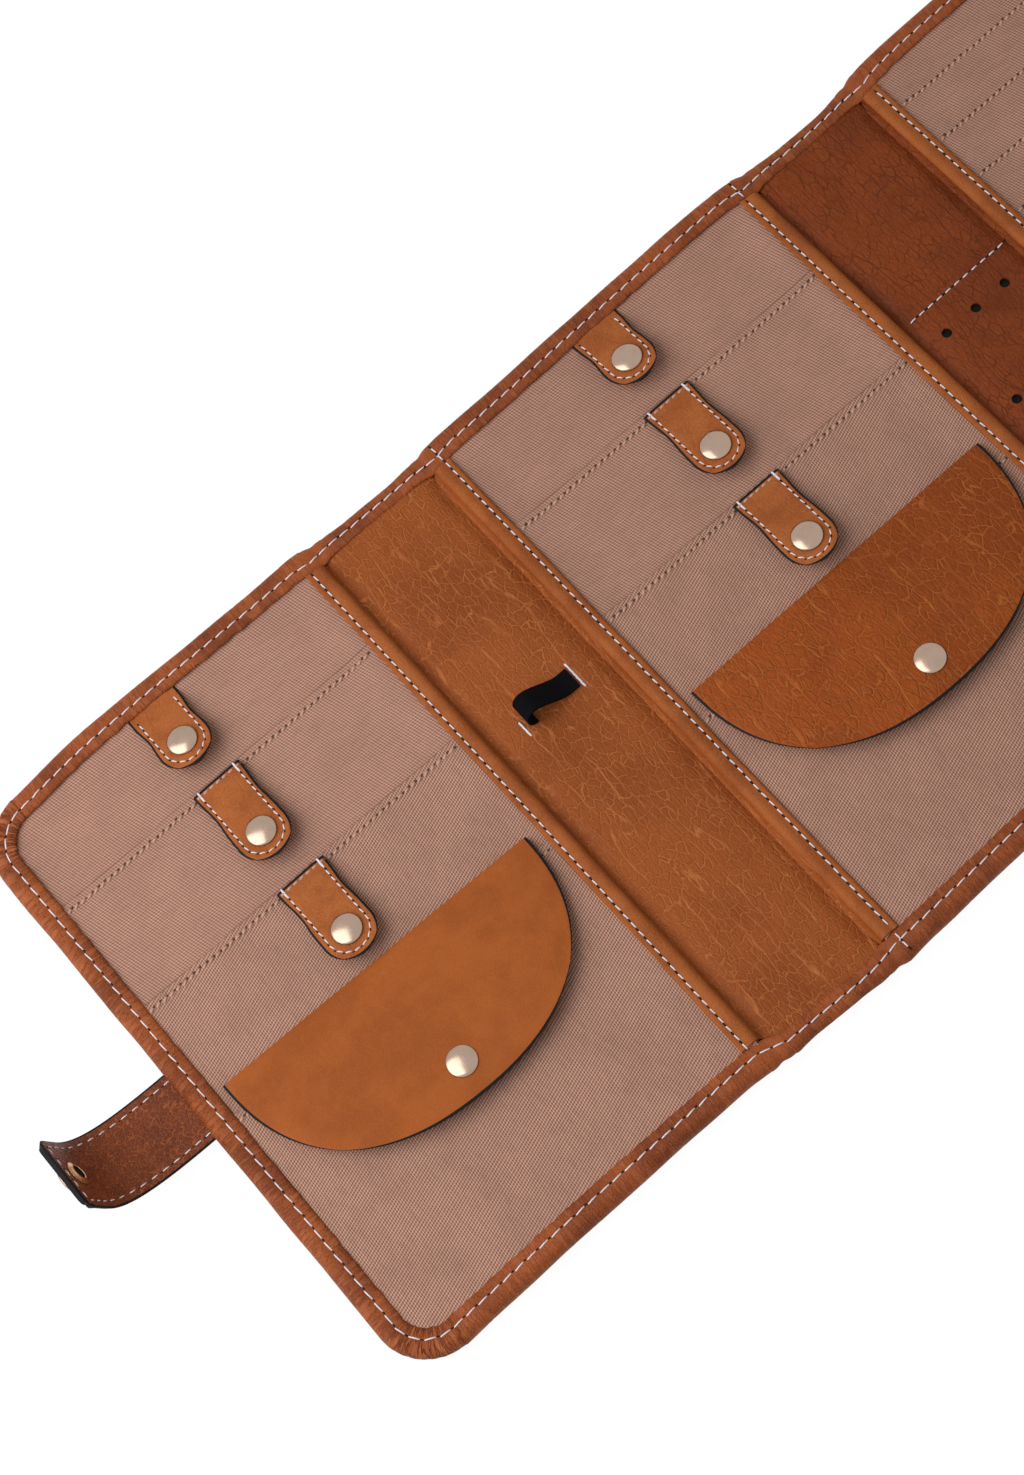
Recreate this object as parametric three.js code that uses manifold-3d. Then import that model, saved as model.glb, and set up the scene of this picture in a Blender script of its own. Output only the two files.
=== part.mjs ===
// A folding knitting needle case: three canvas panels joined by two leather spines, closed by a snap strap.
// Millimetres, +Z up, lying open. X runs along the open case, Y along the folds.
// The origin is the centre of the middle panel's underside.
import * as THREE from 'three';
import { mergeVertices } from 'three/addons/utils/BufferGeometryUtils.js';
import Module from 'manifold-3d';

const wasm = await Module();
wasm.setup();

// Panels and spines
const PANEL_LENGTH = 224; // along Y, over the bindings
const SPINE_SHORT = 2; // how far each end of a spine stops short of the panels' ends
const MIDDLE_WIDTH = 137.2; // crease to crease
const SPINE_WIDTH = 43.6; // crease to crease
const LEFT_WIDTH = 138.8; // crease to outer edge
const RIGHT_WIDTH = 118;
const CORNER_RADIUS = 18;

// Plies, from the outside in
const COVER_THICKNESS = 1.6;
const SKIVED_RIM = 0.55; // the cover's thinned rim inside the binding
const PADDING_THICKNESS = 1.7;
const CANVAS_THICKNESS = 0.5;
const SPINE_LIFT = 2.4; // the spines hang clear of the surface that the panels lie on
const SPINE_COVER_THICKNESS = 1.2;
const SPINE_LINING_THICKNESS = 1;
const PLY_GAP = 0.15;
const SEAT_GAP = 0.3;

// Leather edges
const BINDING_THICKNESS = 1.1;
const BINDING_WIDTH = 8.7; // from the outer edge to the inner edge of a lip
const OUTER_LIP_THICKNESS = 0.9;
const PIPING_WIDTH = 6.8;
const PIPING_RADIUS = 2.4;

// Clearances on each side of a crease
const CREASE_TO_PIPING = 0.6;
const CREASE_TO_SPINE = 0.25;
const CREASE_TO_BINDING = 1.7;

// Pockets, as distances along Y
const TOP_TO_SEAM = 42.95; // from the panel's top edge to the upper pocket's seam
const SEAM_PITCH = 41.95;
const SEAM_TO_FLAP = 34.85; // from the centre pocket's seam to the flap's sewn edge
const HEM = 2.6; // from a seam up to its pocket's mouth
const FLAP_TO_MOUTH = 7;
const LEFT_SHIFT = 1; // the left panel's rows sit a little higher than the middle panel's
const MIDDLE_SHIFT = -1;
const SLEEVE_MOUTH = 22; // from the right panel's outer edge

// Tabs and flaps
const TAB_WIDTH = 18.4;
const TAB_LENGTH = 34;
const TAB_THICKNESS = 2.2;
const TAB_SNAP = 24.5; // from a tab's sewn edge to its snap
const TAB_ABOVE_SEAM = 1.5;
const TOP_TAB_HIDDEN = 8.8; // the length of the top tab that is caught under the binding
const TOP_TAB_CLEARANCE = 0.7;
const FLAP_WIDTH = 116;
const FLAP_DEPTH = 54;
const FLAP_POWER = 2.3; // the superellipse of the flap's edge
const FLAP_THICKNESS = 1.8;
const FLAP_SNAP = 42.4;
const FLAP_SEAT = 0.6;

// Snap fasteners
const CAP_RADIUS = 5;
const CAP_HEIGHT = 1.9;
const CAP_RIM = 0.5;
const SHANK_RADIUS = 1.7;
const SHANK_CLEARANCE = 0.3;
const SOCKET_RADIUS = 4.1;
const SOCKET_HEIGHT = 1.7;
const SOCKET_BORE = 2.7;
const SOCKET_DEPTH = 1.1;
const STUD_FLANGE_RADIUS = 3.6;
const STUD_FLANGE = 0.5;
const STUD_RADIUS = 2;
const STUD_POST = 1.5;
const SNAP_PLAY = 0.9; // between a socket and its stud's flange

// Closing strap
const STRAP_WIDTH = 26.2;
const STRAP_THICKNESS = 2.6;
const STRAP_BASE_LENGTH = 34;
const STRAP_END_LENGTH = 21;
const STRAP_SNAP = 12; // from the strap's bend
const STRAP_SLOPE = 16; // degrees
const STRAP_RISE = 78; // degrees
const STRAP_Y = -1.8;
const STRAP_AXIS_Z = 2.6;
const STRAP_TO_EDGE = 0.4;
const STRAP_BEND_GAP = 1.1;
const STRAP_CORNER = 4;
const STRAP_STUD_FROM_CREASE = 19.8; // along the right spine

// Elastic loop on the left spine
const ELASTIC_WIDTH = 7.3;
const ELASTIC_THICKNESS = 0.9;
const ELASTIC_SPAN = 20;
const ELASTIC_HEIGHT = 9.6;
const ELASTIC_FOOT = 3.4;
const ELASTIC_Y = 20.5;

// Punched holes in the right spine
const HOLE_RADIUS = 1.65;
const HOLE_PITCH = 12;
const HOLE_ROW_UPPER = 25.4;
const HOLE_ROW_LOWER = -5.7;
const HOLE_OFFSET = -1.5;

// Fineness of curves
const ARC_STEPS = 5;
const ROUND_STEPS = 24;
const FLAP_STEPS = 32;
const DOME_STEPS = 4;
const LOOP_STEPS = 30;
const CUT_MARGIN = 2;

// Levels and lines that follow from the sizes above
const HALF = PANEL_LENGTH / 2;
const SPINE_HALF = HALF - SPINE_SHORT;
const UPPER_SEAM = HALF - TOP_TO_SEAM;
const CENTRE_SEAM = UPPER_SEAM - SEAM_PITCH;
const FLAP_LINE = CENTRE_SEAM - SEAM_TO_FLAP;
const INNER_CREASE = MIDDLE_WIDTH / 2;
const OUTER_CREASE = INNER_CREASE + SPINE_WIDTH;
const LEFT_EDGE = -OUTER_CREASE - LEFT_WIDTH;
const RIGHT_EDGE = OUTER_CREASE + RIGHT_WIDTH;
const EDGE_INSET = BINDING_THICKNESS + SEAT_GAP; // a ply's edge inside the binding
const CREASE_INSET = CREASE_TO_PIPING + BINDING_THICKNESS + SEAT_GAP; // a ply's edge inside the piping
const LIP_LINE = HALF - BINDING_WIDTH;

const PADDING_BASE = COVER_THICKNESS + PLY_GAP;
const LINING_BASE = PADDING_BASE + PADDING_THICKNESS + PLY_GAP;
const LINING_TOP = LINING_BASE + CANVAS_THICKNESS;
const UPPER_TOP = LINING_TOP + PLY_GAP + CANVAS_THICKNESS;
const CENTRE_TOP = UPPER_TOP + PLY_GAP + CANVAS_THICKNESS;
const LOWER_TOP = CENTRE_TOP + PLY_GAP + CANVAS_THICKNESS;
const LIP_BASE = LOWER_TOP + PLY_GAP;
const PANEL_TOP = LIP_BASE + BINDING_THICKNESS;

const SPINE_LINING_BASE = SPINE_LIFT + SPINE_COVER_THICKNESS + PLY_GAP;
const SPINE_TOP = SPINE_LINING_BASE + SPINE_LINING_THICKNESS;
const SNAP_STACK = STUD_FLANGE + SOCKET_HEIGHT + SNAP_PLAY;

// Materials
const material = (color, roughness, metalness = 0) =>
  new THREE.MeshStandardMaterial({ color, roughness, metalness });
const canvas = () => material(0xad8271, 0.9);
const felt = () => material(0x6b5a4d, 1);
const coverLeather = () => material(0x7a4424, 0.55);
const spineLeather = () => material(0x96512c, 0.5);
const edgeLeather = () => material(0xa05a2e, 0.5);
const tabLeather = () => material(0xb56c3d, 0.65);
const flapLeather = () => material(0x9f592f, 0.55);
const strapLeather = () => material(0x673520, 0.55);
const elastic = () => material(0x100e10, 0.85);
const snapMetal = () => material(0xc9ae9b, 0.3, 1);

// Solids

function toSolid(geometry) {
  const bare = geometry.clone();
  bare.deleteAttribute('normal');
  bare.deleteAttribute('uv');
  const welded = mergeVertices(bare);
  return new wasm.Manifold(
    new wasm.Mesh({
      numProp: 3,
      vertProperties: welded.attributes.position.array,
      triVerts: Uint32Array.from(welded.index.array),
    }),
  );
}

function toGeometry(solid) {
  const mesh = solid.getMesh();
  const geometry = new THREE.BufferGeometry();
  geometry.setAttribute('position', new THREE.BufferAttribute(mesh.vertProperties, 3));
  geometry.setIndex(new THREE.BufferAttribute(mesh.triVerts, 1));
  geometry.computeVertexNormals();
  return geometry;
}

function cut(geometry, ...tools) {
  return toGeometry(tools.reduce((solid, tool) => solid.subtract(toSolid(tool)), toSolid(geometry)));
}

function join(first, second) {
  return toGeometry(toSolid(first).add(toSolid(second)));
}

function extrude(shape, depth) {
  return new THREE.ExtrudeGeometry(shape, { depth, bevelEnabled: false, curveSegments: ARC_STEPS });
}

function prism(shape, low, high) {
  return extrude(shape, high - low).translate(0, 0, low);
}

// A shape drawn in Y and Z, swept along X
function alongX(shape, start, end) {
  const turn = new THREE.Matrix4().makeBasis(
    new THREE.Vector3(0, 1, 0),
    new THREE.Vector3(0, 0, 1),
    new THREE.Vector3(1, 0, 0),
  );
  return extrude(shape, end - start).applyMatrix4(turn).translate(start, 0, 0);
}

// A shape drawn in X and Z, swept along Y
function alongY(shape, start, end) {
  return extrude(shape, end - start).rotateX(Math.PI / 2).translate(0, end, 0);
}

// A turned profile of radius and height pairs, about Z
function turned(profile) {
  const points = profile.map(([radius, height]) => new THREE.Vector2(radius, height));
  return new THREE.LatheGeometry(points, ROUND_STEPS).rotateX(Math.PI / 2);
}

function circle(x, y, radius) {
  return new THREE.Path().absarc(x, y, radius, 0, 2 * Math.PI);
}

function place(group, name, geometry, look) {
  const mesh = new THREE.Mesh(geometry, look);
  mesh.name = name;
  group.add(mesh);
  return mesh;
}

// A flat outline from the near edge to the far edge, with the far corners rounded
function sheet({ near, far, low, high, lowRadius = 0, highRadius = 0 }) {
  const side = Math.sign(far - near);
  const away = side > 0 ? 0 : Math.PI;
  const shape = new THREE.Shape();
  shape.moveTo(near, low);
  shape.lineTo(far - side * lowRadius, low);
  if (lowRadius > 0) {
    shape.absarc(far - side * lowRadius, low + lowRadius, lowRadius, -Math.PI / 2, -away, side < 0);
  }
  if (highRadius > 0) {
    shape.absarc(far - side * highRadius, high - highRadius, highRadius, away, Math.PI / 2, side < 0);
  } else {
    shape.lineTo(far, high);
  }
  shape.lineTo(near, high);
  shape.closePath();
  return shape;
}

// Panels: each gives the outline of a ply by its distance from the bound edges and from the creases

const middlePanel = {
  name: 'middle',
  centre: 0,
  shift: MIDDLE_SHIFT,
  outline: (inset, creaseInset, low = inset - HALF, high = HALF - inset) =>
    sheet({ near: creaseInset - INNER_CREASE, far: INNER_CREASE - creaseInset, low, high }),
};

function outerPanel(name, side, edge, shift) {
  return {
    name,
    side,
    edge,
    centre: (side * OUTER_CREASE + edge) / 2,
    shift,
    outline: (inset, creaseInset, low = inset - HALF, high = HALF - inset) =>
      sheet({
        near: side * (OUTER_CREASE + creaseInset),
        far: edge - side * inset,
        low,
        high,
        lowRadius: CORNER_RADIUS - inset,
        highRadius: high === HALF - inset ? CORNER_RADIUS - inset : 0,
      }),
  };
}

const leftPanel = outerPanel('left', -1, LEFT_EDGE, LEFT_SHIFT);
const rightPanel = outerPanel('right', 1, RIGHT_EDGE, 0);

// The outer leather: a full face, with a thinned rim that runs into the binding
function cover(panel) {
  const face = prism(panel.outline(BINDING_WIDTH + PLY_GAP, CREASE_TO_PIPING), 0, COVER_THICKNESS);
  const rim = prism(
    panel.outline(EDGE_INSET, CREASE_TO_BINDING),
    COVER_THICKNESS - SKIVED_RIM,
    COVER_THICKNESS,
  );
  return join(face, rim);
}

// A folded strip round the three free edges of an outer panel
function edgeBinding(panel) {
  const open = CREASE_TO_BINDING - CUT_MARGIN;
  const whole = prism(panel.outline(0, CREASE_TO_BINDING), 0, PANEL_TOP);
  const channel = prism(panel.outline(BINDING_THICKNESS, open), OUTER_LIP_THICKNESS, LIP_BASE);
  const middle = prism(panel.outline(BINDING_WIDTH, open), -CUT_MARGIN, PANEL_TOP + CUT_MARGIN);
  return cut(whole, channel, middle);
}

// A straight folded strip along one end of a panel or a spine
function endBinding({ start, end, side, outer, width, low, high, lowLip, highLip }) {
  const shape = new THREE.Shape(
    [
      [0, low],
      [width, low],
      [width, low + lowLip],
      [BINDING_THICKNESS, low + lowLip],
      [BINDING_THICKNESS, high - highLip],
      [width, high - highLip],
      [width, high],
      [0, high],
    ].map(([depth, z]) => new THREE.Vector2(side * (outer - depth), z)),
  );
  return alongX(shape, start, end);
}

// The rolled leather edge of a panel beside a crease; inward points from the crease into the panel
function piping(crease, inward) {
  const x = (distance) => crease + inward * distance;
  const bottom = COVER_THICKNESS + PLY_GAP;
  const outer = CREASE_TO_PIPING;
  const shape = new THREE.Shape();
  shape.moveTo(x(outer), bottom);
  shape.lineTo(x(outer), PANEL_TOP - PIPING_RADIUS);
  shape.quadraticCurveTo(x(outer), PANEL_TOP, x(outer + PIPING_RADIUS), PANEL_TOP);
  shape.lineTo(x(outer + PIPING_WIDTH), PANEL_TOP);
  shape.lineTo(x(outer + PIPING_WIDTH), LIP_BASE);
  shape.lineTo(x(outer + BINDING_THICKNESS), LIP_BASE);
  shape.lineTo(x(outer + BINDING_THICKNESS), bottom);
  shape.closePath();
  return alongY(shape, SEAT_GAP - LIP_LINE, LIP_LINE - SEAT_GAP);
}

// Snap fasteners

// A domed cap and its socket, riveted through leather whose top face is at height 0
function snapCap(leather) {
  const dome = Array.from({ length: DOME_STEPS + 1 }, (_, step) => {
    const angle = (step / DOME_STEPS) * (Math.PI / 2);
    const rise = (CAP_HEIGHT - CAP_RIM) * Math.sin(angle);
    return [CAP_RADIUS * Math.cos(angle), PLY_GAP + CAP_RIM + rise];
  });
  dome[DOME_STEPS][0] = 0;
  const seat = -leather - PLY_GAP;
  return turned([
    [0, seat - SOCKET_HEIGHT + SOCKET_DEPTH],
    [SOCKET_BORE, seat - SOCKET_HEIGHT + SOCKET_DEPTH],
    [SOCKET_BORE, seat - SOCKET_HEIGHT],
    [SOCKET_RADIUS, seat - SOCKET_HEIGHT],
    [SOCKET_RADIUS, seat],
    [SHANK_RADIUS, seat],
    [SHANK_RADIUS, PLY_GAP],
    [CAP_RADIUS, PLY_GAP],
    ...dome,
  ]);
}

// A stud on a flange, standing on height 0
function snapStud() {
  return turned([
    [0, PLY_GAP],
    [STUD_FLANGE_RADIUS, PLY_GAP],
    [STUD_FLANGE_RADIUS, STUD_FLANGE],
    [STUD_RADIUS, STUD_FLANGE],
    [STUD_RADIUS, STUD_FLANGE + STUD_POST],
    [0, STUD_FLANGE + STUD_POST],
  ]);
}

// Tabs and flaps, drawn with the sewn edge at the origin and the free end towards -Y

function tabLeatherPlate(length, snap) {
  const radius = TAB_WIDTH / 2;
  const shape = new THREE.Shape();
  shape.moveTo(-radius, 0);
  shape.lineTo(-radius, radius - length);
  shape.absarc(0, radius - length, radius, Math.PI, 2 * Math.PI);
  shape.lineTo(radius, 0);
  shape.closePath();
  shape.holes.push(circle(0, -snap, SHANK_RADIUS + SHANK_CLEARANCE));
  return prism(shape, -TAB_THICKNESS, 0);
}

function flapLeatherPlate() {
  const shape = new THREE.Shape();
  for (let step = 0; step <= FLAP_STEPS; step += 1) {
    const angle = (step / FLAP_STEPS) * Math.PI;
    const across = Math.sign(Math.cos(angle)) * Math.abs(Math.cos(angle)) ** (2 / FLAP_POWER);
    const down = Math.sin(angle) ** (2 / FLAP_POWER);
    const x = (across * FLAP_WIDTH) / 2;
    const y = step % FLAP_STEPS === 0 ? 0 : -down * FLAP_DEPTH;
    if (step === 0) {
      shape.moveTo(x, y);
    } else {
      shape.lineTo(x, y);
    }
  }
  shape.closePath();
  shape.holes.push(circle(0, -FLAP_SNAP, SHANK_RADIUS + SHANK_CLEARANCE));
  return prism(shape, -FLAP_THICKNESS, 0);
}

// Adds a leather piece that is sewn down along one edge and held up by its snap at the other
function addFastened(group, panel, row) {
  const { label, plate, look, thickness, sewn, snap, seat, seatGap, under } = row;
  const hinged = new THREE.Group();
  hinged.position.set(panel.centre, sewn, seat + seatGap + thickness);
  hinged.rotation.x = -Math.asin((under + SNAP_STACK - seat - seatGap) / snap);
  place(hinged, `${panel.name}_${label}`, plate, look);
  const cap = place(hinged, `${panel.name}_snap_${label}`, snapCap(thickness), snapMetal());
  cap.position.y = -snap;
  group.add(hinged);

  const stud = place(group, `${panel.name}_stud_${label}`, snapStud(), snapMetal());
  const reach = snap * Math.cos(hinged.rotation.x) - thickness * Math.sin(hinged.rotation.x);
  stud.position.set(panel.centre, sewn - reach, under);
}

function addTab(group, panel, { label, sewn, hidden, level }) {
  addFastened(group, panel, {
    label,
    plate: tabLeatherPlate(TAB_LENGTH - hidden, TAB_SNAP - hidden),
    look: tabLeather(),
    thickness: TAB_THICKNESS,
    sewn,
    snap: TAB_SNAP - hidden,
    seat: level,
    seatGap: SEAT_GAP,
    under: level,
  });
}

// The plies, pockets, tabs and flap of a panel that holds circular needles
function addPocketPanel(group, panel) {
  const { name, shift } = panel;
  const ply = (label, low, high, top, look) =>
    place(
      group,
      `${name}_${label}`,
      prism(panel.outline(EDGE_INSET, CREASE_INSET, EDGE_INSET - HALF, top), low, high),
      look,
    );
  const full = HALF - EDGE_INSET;
  const upper = UPPER_SEAM + shift;
  const centre = CENTRE_SEAM + shift;
  const flapLine = FLAP_LINE + shift;

  place(group, `${name}_cover`, cover(panel), coverLeather());
  ply('padding', PADDING_BASE, PADDING_BASE + PADDING_THICKNESS, full, felt());
  ply('lining', LINING_BASE, LINING_TOP, full, canvas());
  ply('pocket_upper', UPPER_TOP - CANVAS_THICKNESS, UPPER_TOP, upper + HEM, canvas());
  ply('pocket_centre', CENTRE_TOP - CANVAS_THICKNESS, CENTRE_TOP, centre + HEM, canvas());
  ply('pocket_lower', LOWER_TOP - CANVAS_THICKNESS, LOWER_TOP, flapLine - FLAP_TO_MOUTH, canvas());

  const topSewn = LIP_LINE - TOP_TAB_CLEARANCE;
  addTab(group, panel, { label: 'tab_upper', sewn: topSewn, hidden: TOP_TAB_HIDDEN, level: LINING_TOP });
  addTab(group, panel, { label: 'tab_centre', sewn: upper + TAB_ABOVE_SEAM, hidden: 0, level: UPPER_TOP });
  addTab(group, panel, { label: 'tab_lower', sewn: centre + TAB_ABOVE_SEAM, hidden: 0, level: CENTRE_TOP });
  addFastened(group, panel, {
    label: 'flap',
    plate: flapLeatherPlate(),
    look: flapLeather(),
    thickness: FLAP_THICKNESS,
    sewn: flapLine,
    snap: FLAP_SNAP,
    seat: CENTRE_TOP,
    seatGap: FLAP_SEAT,
    under: LOWER_TOP,
  });
}

function addMiddlePanel(group) {
  addPocketPanel(group, middlePanel);
  for (const [label, side] of [['top', 1], ['bottom', -1]]) {
    const strip = endBinding({
      start: CREASE_TO_BINDING - INNER_CREASE,
      end: INNER_CREASE - CREASE_TO_BINDING,
      side,
      outer: HALF,
      width: BINDING_WIDTH,
      low: 0,
      high: PANEL_TOP,
      lowLip: OUTER_LIP_THICKNESS,
      highLip: BINDING_THICKNESS,
    });
    place(group, `middle_binding_${label}`, strip, edgeLeather());
  }
  place(group, 'middle_piping_left', piping(-INNER_CREASE, 1), edgeLeather());
  place(group, 'middle_piping_right', piping(INNER_CREASE, -1), edgeLeather());
}

function addLeftPanel(group) {
  addPocketPanel(group, leftPanel);
  place(group, 'left_binding', edgeBinding(leftPanel), edgeLeather());
  place(group, 'left_piping', piping(-OUTER_CREASE, -1), edgeLeather());
}

// The panel of narrow needle sleeves, on one padded lining
function addRightPanel(group) {
  const lining = prism(rightPanel.outline(EDGE_INSET, CREASE_INSET), PADDING_BASE, LINING_TOP);
  const sleeves = sheet({
    near: OUTER_CREASE + CREASE_INSET,
    far: RIGHT_EDGE - SLEEVE_MOUTH,
    low: EDGE_INSET - HALF,
    high: HALF - EDGE_INSET,
  });
  place(group, 'right_cover', cover(rightPanel), coverLeather());
  place(group, 'right_lining', lining, canvas());
  place(group, 'right_sleeves', prism(sleeves, UPPER_TOP - CANVAS_THICKNESS, UPPER_TOP), canvas());
  place(group, 'right_binding', edgeBinding(rightPanel), edgeLeather());
  place(group, 'right_piping', piping(OUTER_CREASE, 1), edgeLeather());
}

// Spines

function spineOutline(side) {
  const edge = SPINE_HALF - EDGE_INSET;
  return sheet({
    near: side * (INNER_CREASE + CREASE_TO_SPINE),
    far: side * (OUTER_CREASE - CREASE_TO_SPINE),
    low: -edge,
    high: edge,
  });
}

function addSpine(group, name, side, lining) {
  const outside = prism(spineOutline(side), SPINE_LIFT, SPINE_LIFT + SPINE_COVER_THICKNESS);
  place(group, `${name}_cover`, outside, coverLeather());
  place(group, `${name}_lining`, prism(lining, SPINE_LINING_BASE, SPINE_TOP), spineLeather());
  const ends = [side * (INNER_CREASE + CREASE_TO_SPINE), side * (OUTER_CREASE - CREASE_TO_SPINE)];
  for (const [label, face] of [['top', 1], ['bottom', -1]]) {
    const strip = endBinding({
      start: Math.min(...ends),
      end: Math.max(...ends),
      side: face,
      outer: SPINE_HALF,
      width: BINDING_WIDTH - SPINE_SHORT,
      low: SPINE_LIFT - PLY_GAP - OUTER_LIP_THICKNESS,
      high: SPINE_TOP + PLY_GAP + OUTER_LIP_THICKNESS,
      lowLip: OUTER_LIP_THICKNESS,
      highLip: OUTER_LIP_THICKNESS,
    });
    place(group, `${name}_binding_${label}`, strip, edgeLeather());
  }
}

// A band sewn down at its right end, rising to the left and folded back under itself
function elasticLoop() {
  const half = ELASTIC_THICKNESS / 2;
  const floor = SPINE_TOP + PLY_GAP + half;
  const peak = floor + ELASTIC_HEIGHT;
  const right = ELASTIC_SPAN / 2 - INNER_CREASE - SPINE_WIDTH / 2;
  const left = right - ELASTIC_SPAN;
  const band = new THREE.Path();
  band.moveTo(right, floor);
  band.lineTo(right - ELASTIC_FOOT, floor);
  band.bezierCurveTo(
    right - 2 * ELASTIC_FOOT, floor, left + 2 * ELASTIC_FOOT, peak, left + ELASTIC_FOOT, peak,
  );
  band.quadraticCurveTo(left, peak, left, floor + ELASTIC_FOOT);
  band.quadraticCurveTo(left, floor, left + ELASTIC_FOOT, floor);
  const points = band.getSpacedPoints(LOOP_STEPS);
  const beside = (point, index, distance) => {
    const before = points[Math.max(index - 1, 0)];
    const after = points[Math.min(index + 1, LOOP_STEPS)];
    const along = after.clone().sub(before).normalize();
    return point.clone().add(new THREE.Vector2(-along.y, along.x).multiplyScalar(distance));
  };
  const outside = points.map((point, index) => beside(point, index, half));
  const inside = points.map((point, index) => beside(point, index, -half)).reverse();
  const shape = new THREE.Shape([...outside, ...inside]);
  return alongY(shape, ELASTIC_Y - ELASTIC_WIDTH / 2, ELASTIC_Y + ELASTIC_WIDTH / 2);
}

function addLeftSpine(group) {
  addSpine(group, 'left_spine', -1, spineOutline(-1));
  place(group, 'elastic_loop', elasticLoop(), elastic());
}

function addRightSpine(group) {
  const lining = spineOutline(1);
  const centre = INNER_CREASE + SPINE_WIDTH / 2 + HOLE_OFFSET;
  for (const row of [HOLE_ROW_UPPER, HOLE_ROW_LOWER]) {
    for (const column of [-1, 0, 1]) {
      lining.holes.push(circle(centre + column * HOLE_PITCH, row, HOLE_RADIUS));
    }
  }
  addSpine(group, 'right_spine', 1, lining);
  const stud = place(group, 'strap_stud', snapStud(), snapMetal());
  stud.rotation.x = Math.PI;
  stud.position.set(INNER_CREASE + STRAP_STUD_FROM_CREASE, STRAP_Y, SPINE_LIFT);
}

// The strap: a base that slopes up from the left panel's edge and an end that is bent upright

function addStrap(group) {
  const half = STRAP_THICKNESS / 2;
  const base = new THREE.Group();
  base.position.set(LEFT_EDGE - STRAP_TO_EDGE - half, STRAP_Y, STRAP_AXIS_Z);
  base.rotation.y = THREE.MathUtils.degToRad(STRAP_SLOPE);
  const side = new THREE.Shape();
  side.absarc(0, 0, half, -Math.PI / 2, Math.PI / 2);
  side.lineTo(STRAP_BEND_GAP - STRAP_BASE_LENGTH, half);
  side.lineTo(STRAP_BEND_GAP - STRAP_BASE_LENGTH, -half);
  side.closePath();
  place(base, 'strap_base', alongY(side, -STRAP_WIDTH / 2, STRAP_WIDTH / 2), strapLeather());

  const end = new THREE.Group();
  end.position.x = -STRAP_BASE_LENGTH;
  end.rotation.y = THREE.MathUtils.degToRad(STRAP_RISE - STRAP_SLOPE);
  const outline = sheet({
    near: -STRAP_BEND_GAP,
    far: -STRAP_END_LENGTH,
    low: -STRAP_WIDTH / 2,
    high: STRAP_WIDTH / 2,
    lowRadius: STRAP_CORNER,
    highRadius: STRAP_CORNER,
  });
  outline.holes.push(circle(-STRAP_SNAP, 0, SHANK_RADIUS + SHANK_CLEARANCE));
  place(end, 'strap_end', prism(outline, -half, half), strapLeather());
  const snap = place(end, 'strap_snap', snapCap(STRAP_THICKNESS), snapMetal());
  snap.rotation.x = Math.PI;
  snap.position.set(-STRAP_SNAP, 0, -half);
  base.add(end);
  group.add(base);
}

const needleCase = new THREE.Group();
addMiddlePanel(needleCase);
addLeftPanel(needleCase);
addRightPanel(needleCase);
addLeftSpine(needleCase);
addRightSpine(needleCase);
addStrap(needleCase);

export default needleCase;
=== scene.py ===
"""Dresses the solids of a folding knitting needle case in leather, canvas, thread and snaps."""

import logging
import math
from dataclasses import dataclass, field
from enum import Enum
from typing import Callable, Sequence

import bpy
from mathutils import Matrix, Vector, noise
from mathutils.geometry import interpolate_bezier


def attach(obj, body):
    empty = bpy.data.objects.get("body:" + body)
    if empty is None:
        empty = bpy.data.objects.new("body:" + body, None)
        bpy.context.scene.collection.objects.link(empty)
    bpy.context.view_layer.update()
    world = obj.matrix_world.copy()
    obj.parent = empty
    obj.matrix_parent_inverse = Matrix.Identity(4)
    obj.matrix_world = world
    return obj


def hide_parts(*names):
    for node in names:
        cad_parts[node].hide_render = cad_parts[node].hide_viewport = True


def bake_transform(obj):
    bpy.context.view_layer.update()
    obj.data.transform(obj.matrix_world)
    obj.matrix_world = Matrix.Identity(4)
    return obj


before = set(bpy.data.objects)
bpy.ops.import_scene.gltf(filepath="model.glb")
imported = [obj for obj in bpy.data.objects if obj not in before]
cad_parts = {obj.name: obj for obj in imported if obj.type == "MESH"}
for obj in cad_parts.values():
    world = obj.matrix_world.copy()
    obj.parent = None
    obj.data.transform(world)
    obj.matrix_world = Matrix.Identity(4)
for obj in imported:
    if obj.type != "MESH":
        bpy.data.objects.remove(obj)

LOG = logging.getLogger("needle_case")
MM = 0.001
UP = Vector((0, 0, 1))
FINISH_PREFIX = "case_"
FOLD_SHADE_ATTRIBUTE = "fold"
STRIP_ATTRIBUTE = "strip"

Spot = tuple[float, float]
Triple = tuple[float, float, float]
Colour = Triple
Move = Callable[[float, float, float], Triple]
Piece = bpy.types.Object
Socket = bpy.types.NodeSocket
Frames = Sequence[tuple[Vector, Vector]]


class Side(Enum):
    """The two sides of the middle panel."""

    LEFT = -1
    RIGHT = 1


class Face(Enum):
    """The two faces of the open case."""

    INSIDE = 1
    OUTSIDE = -1


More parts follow.
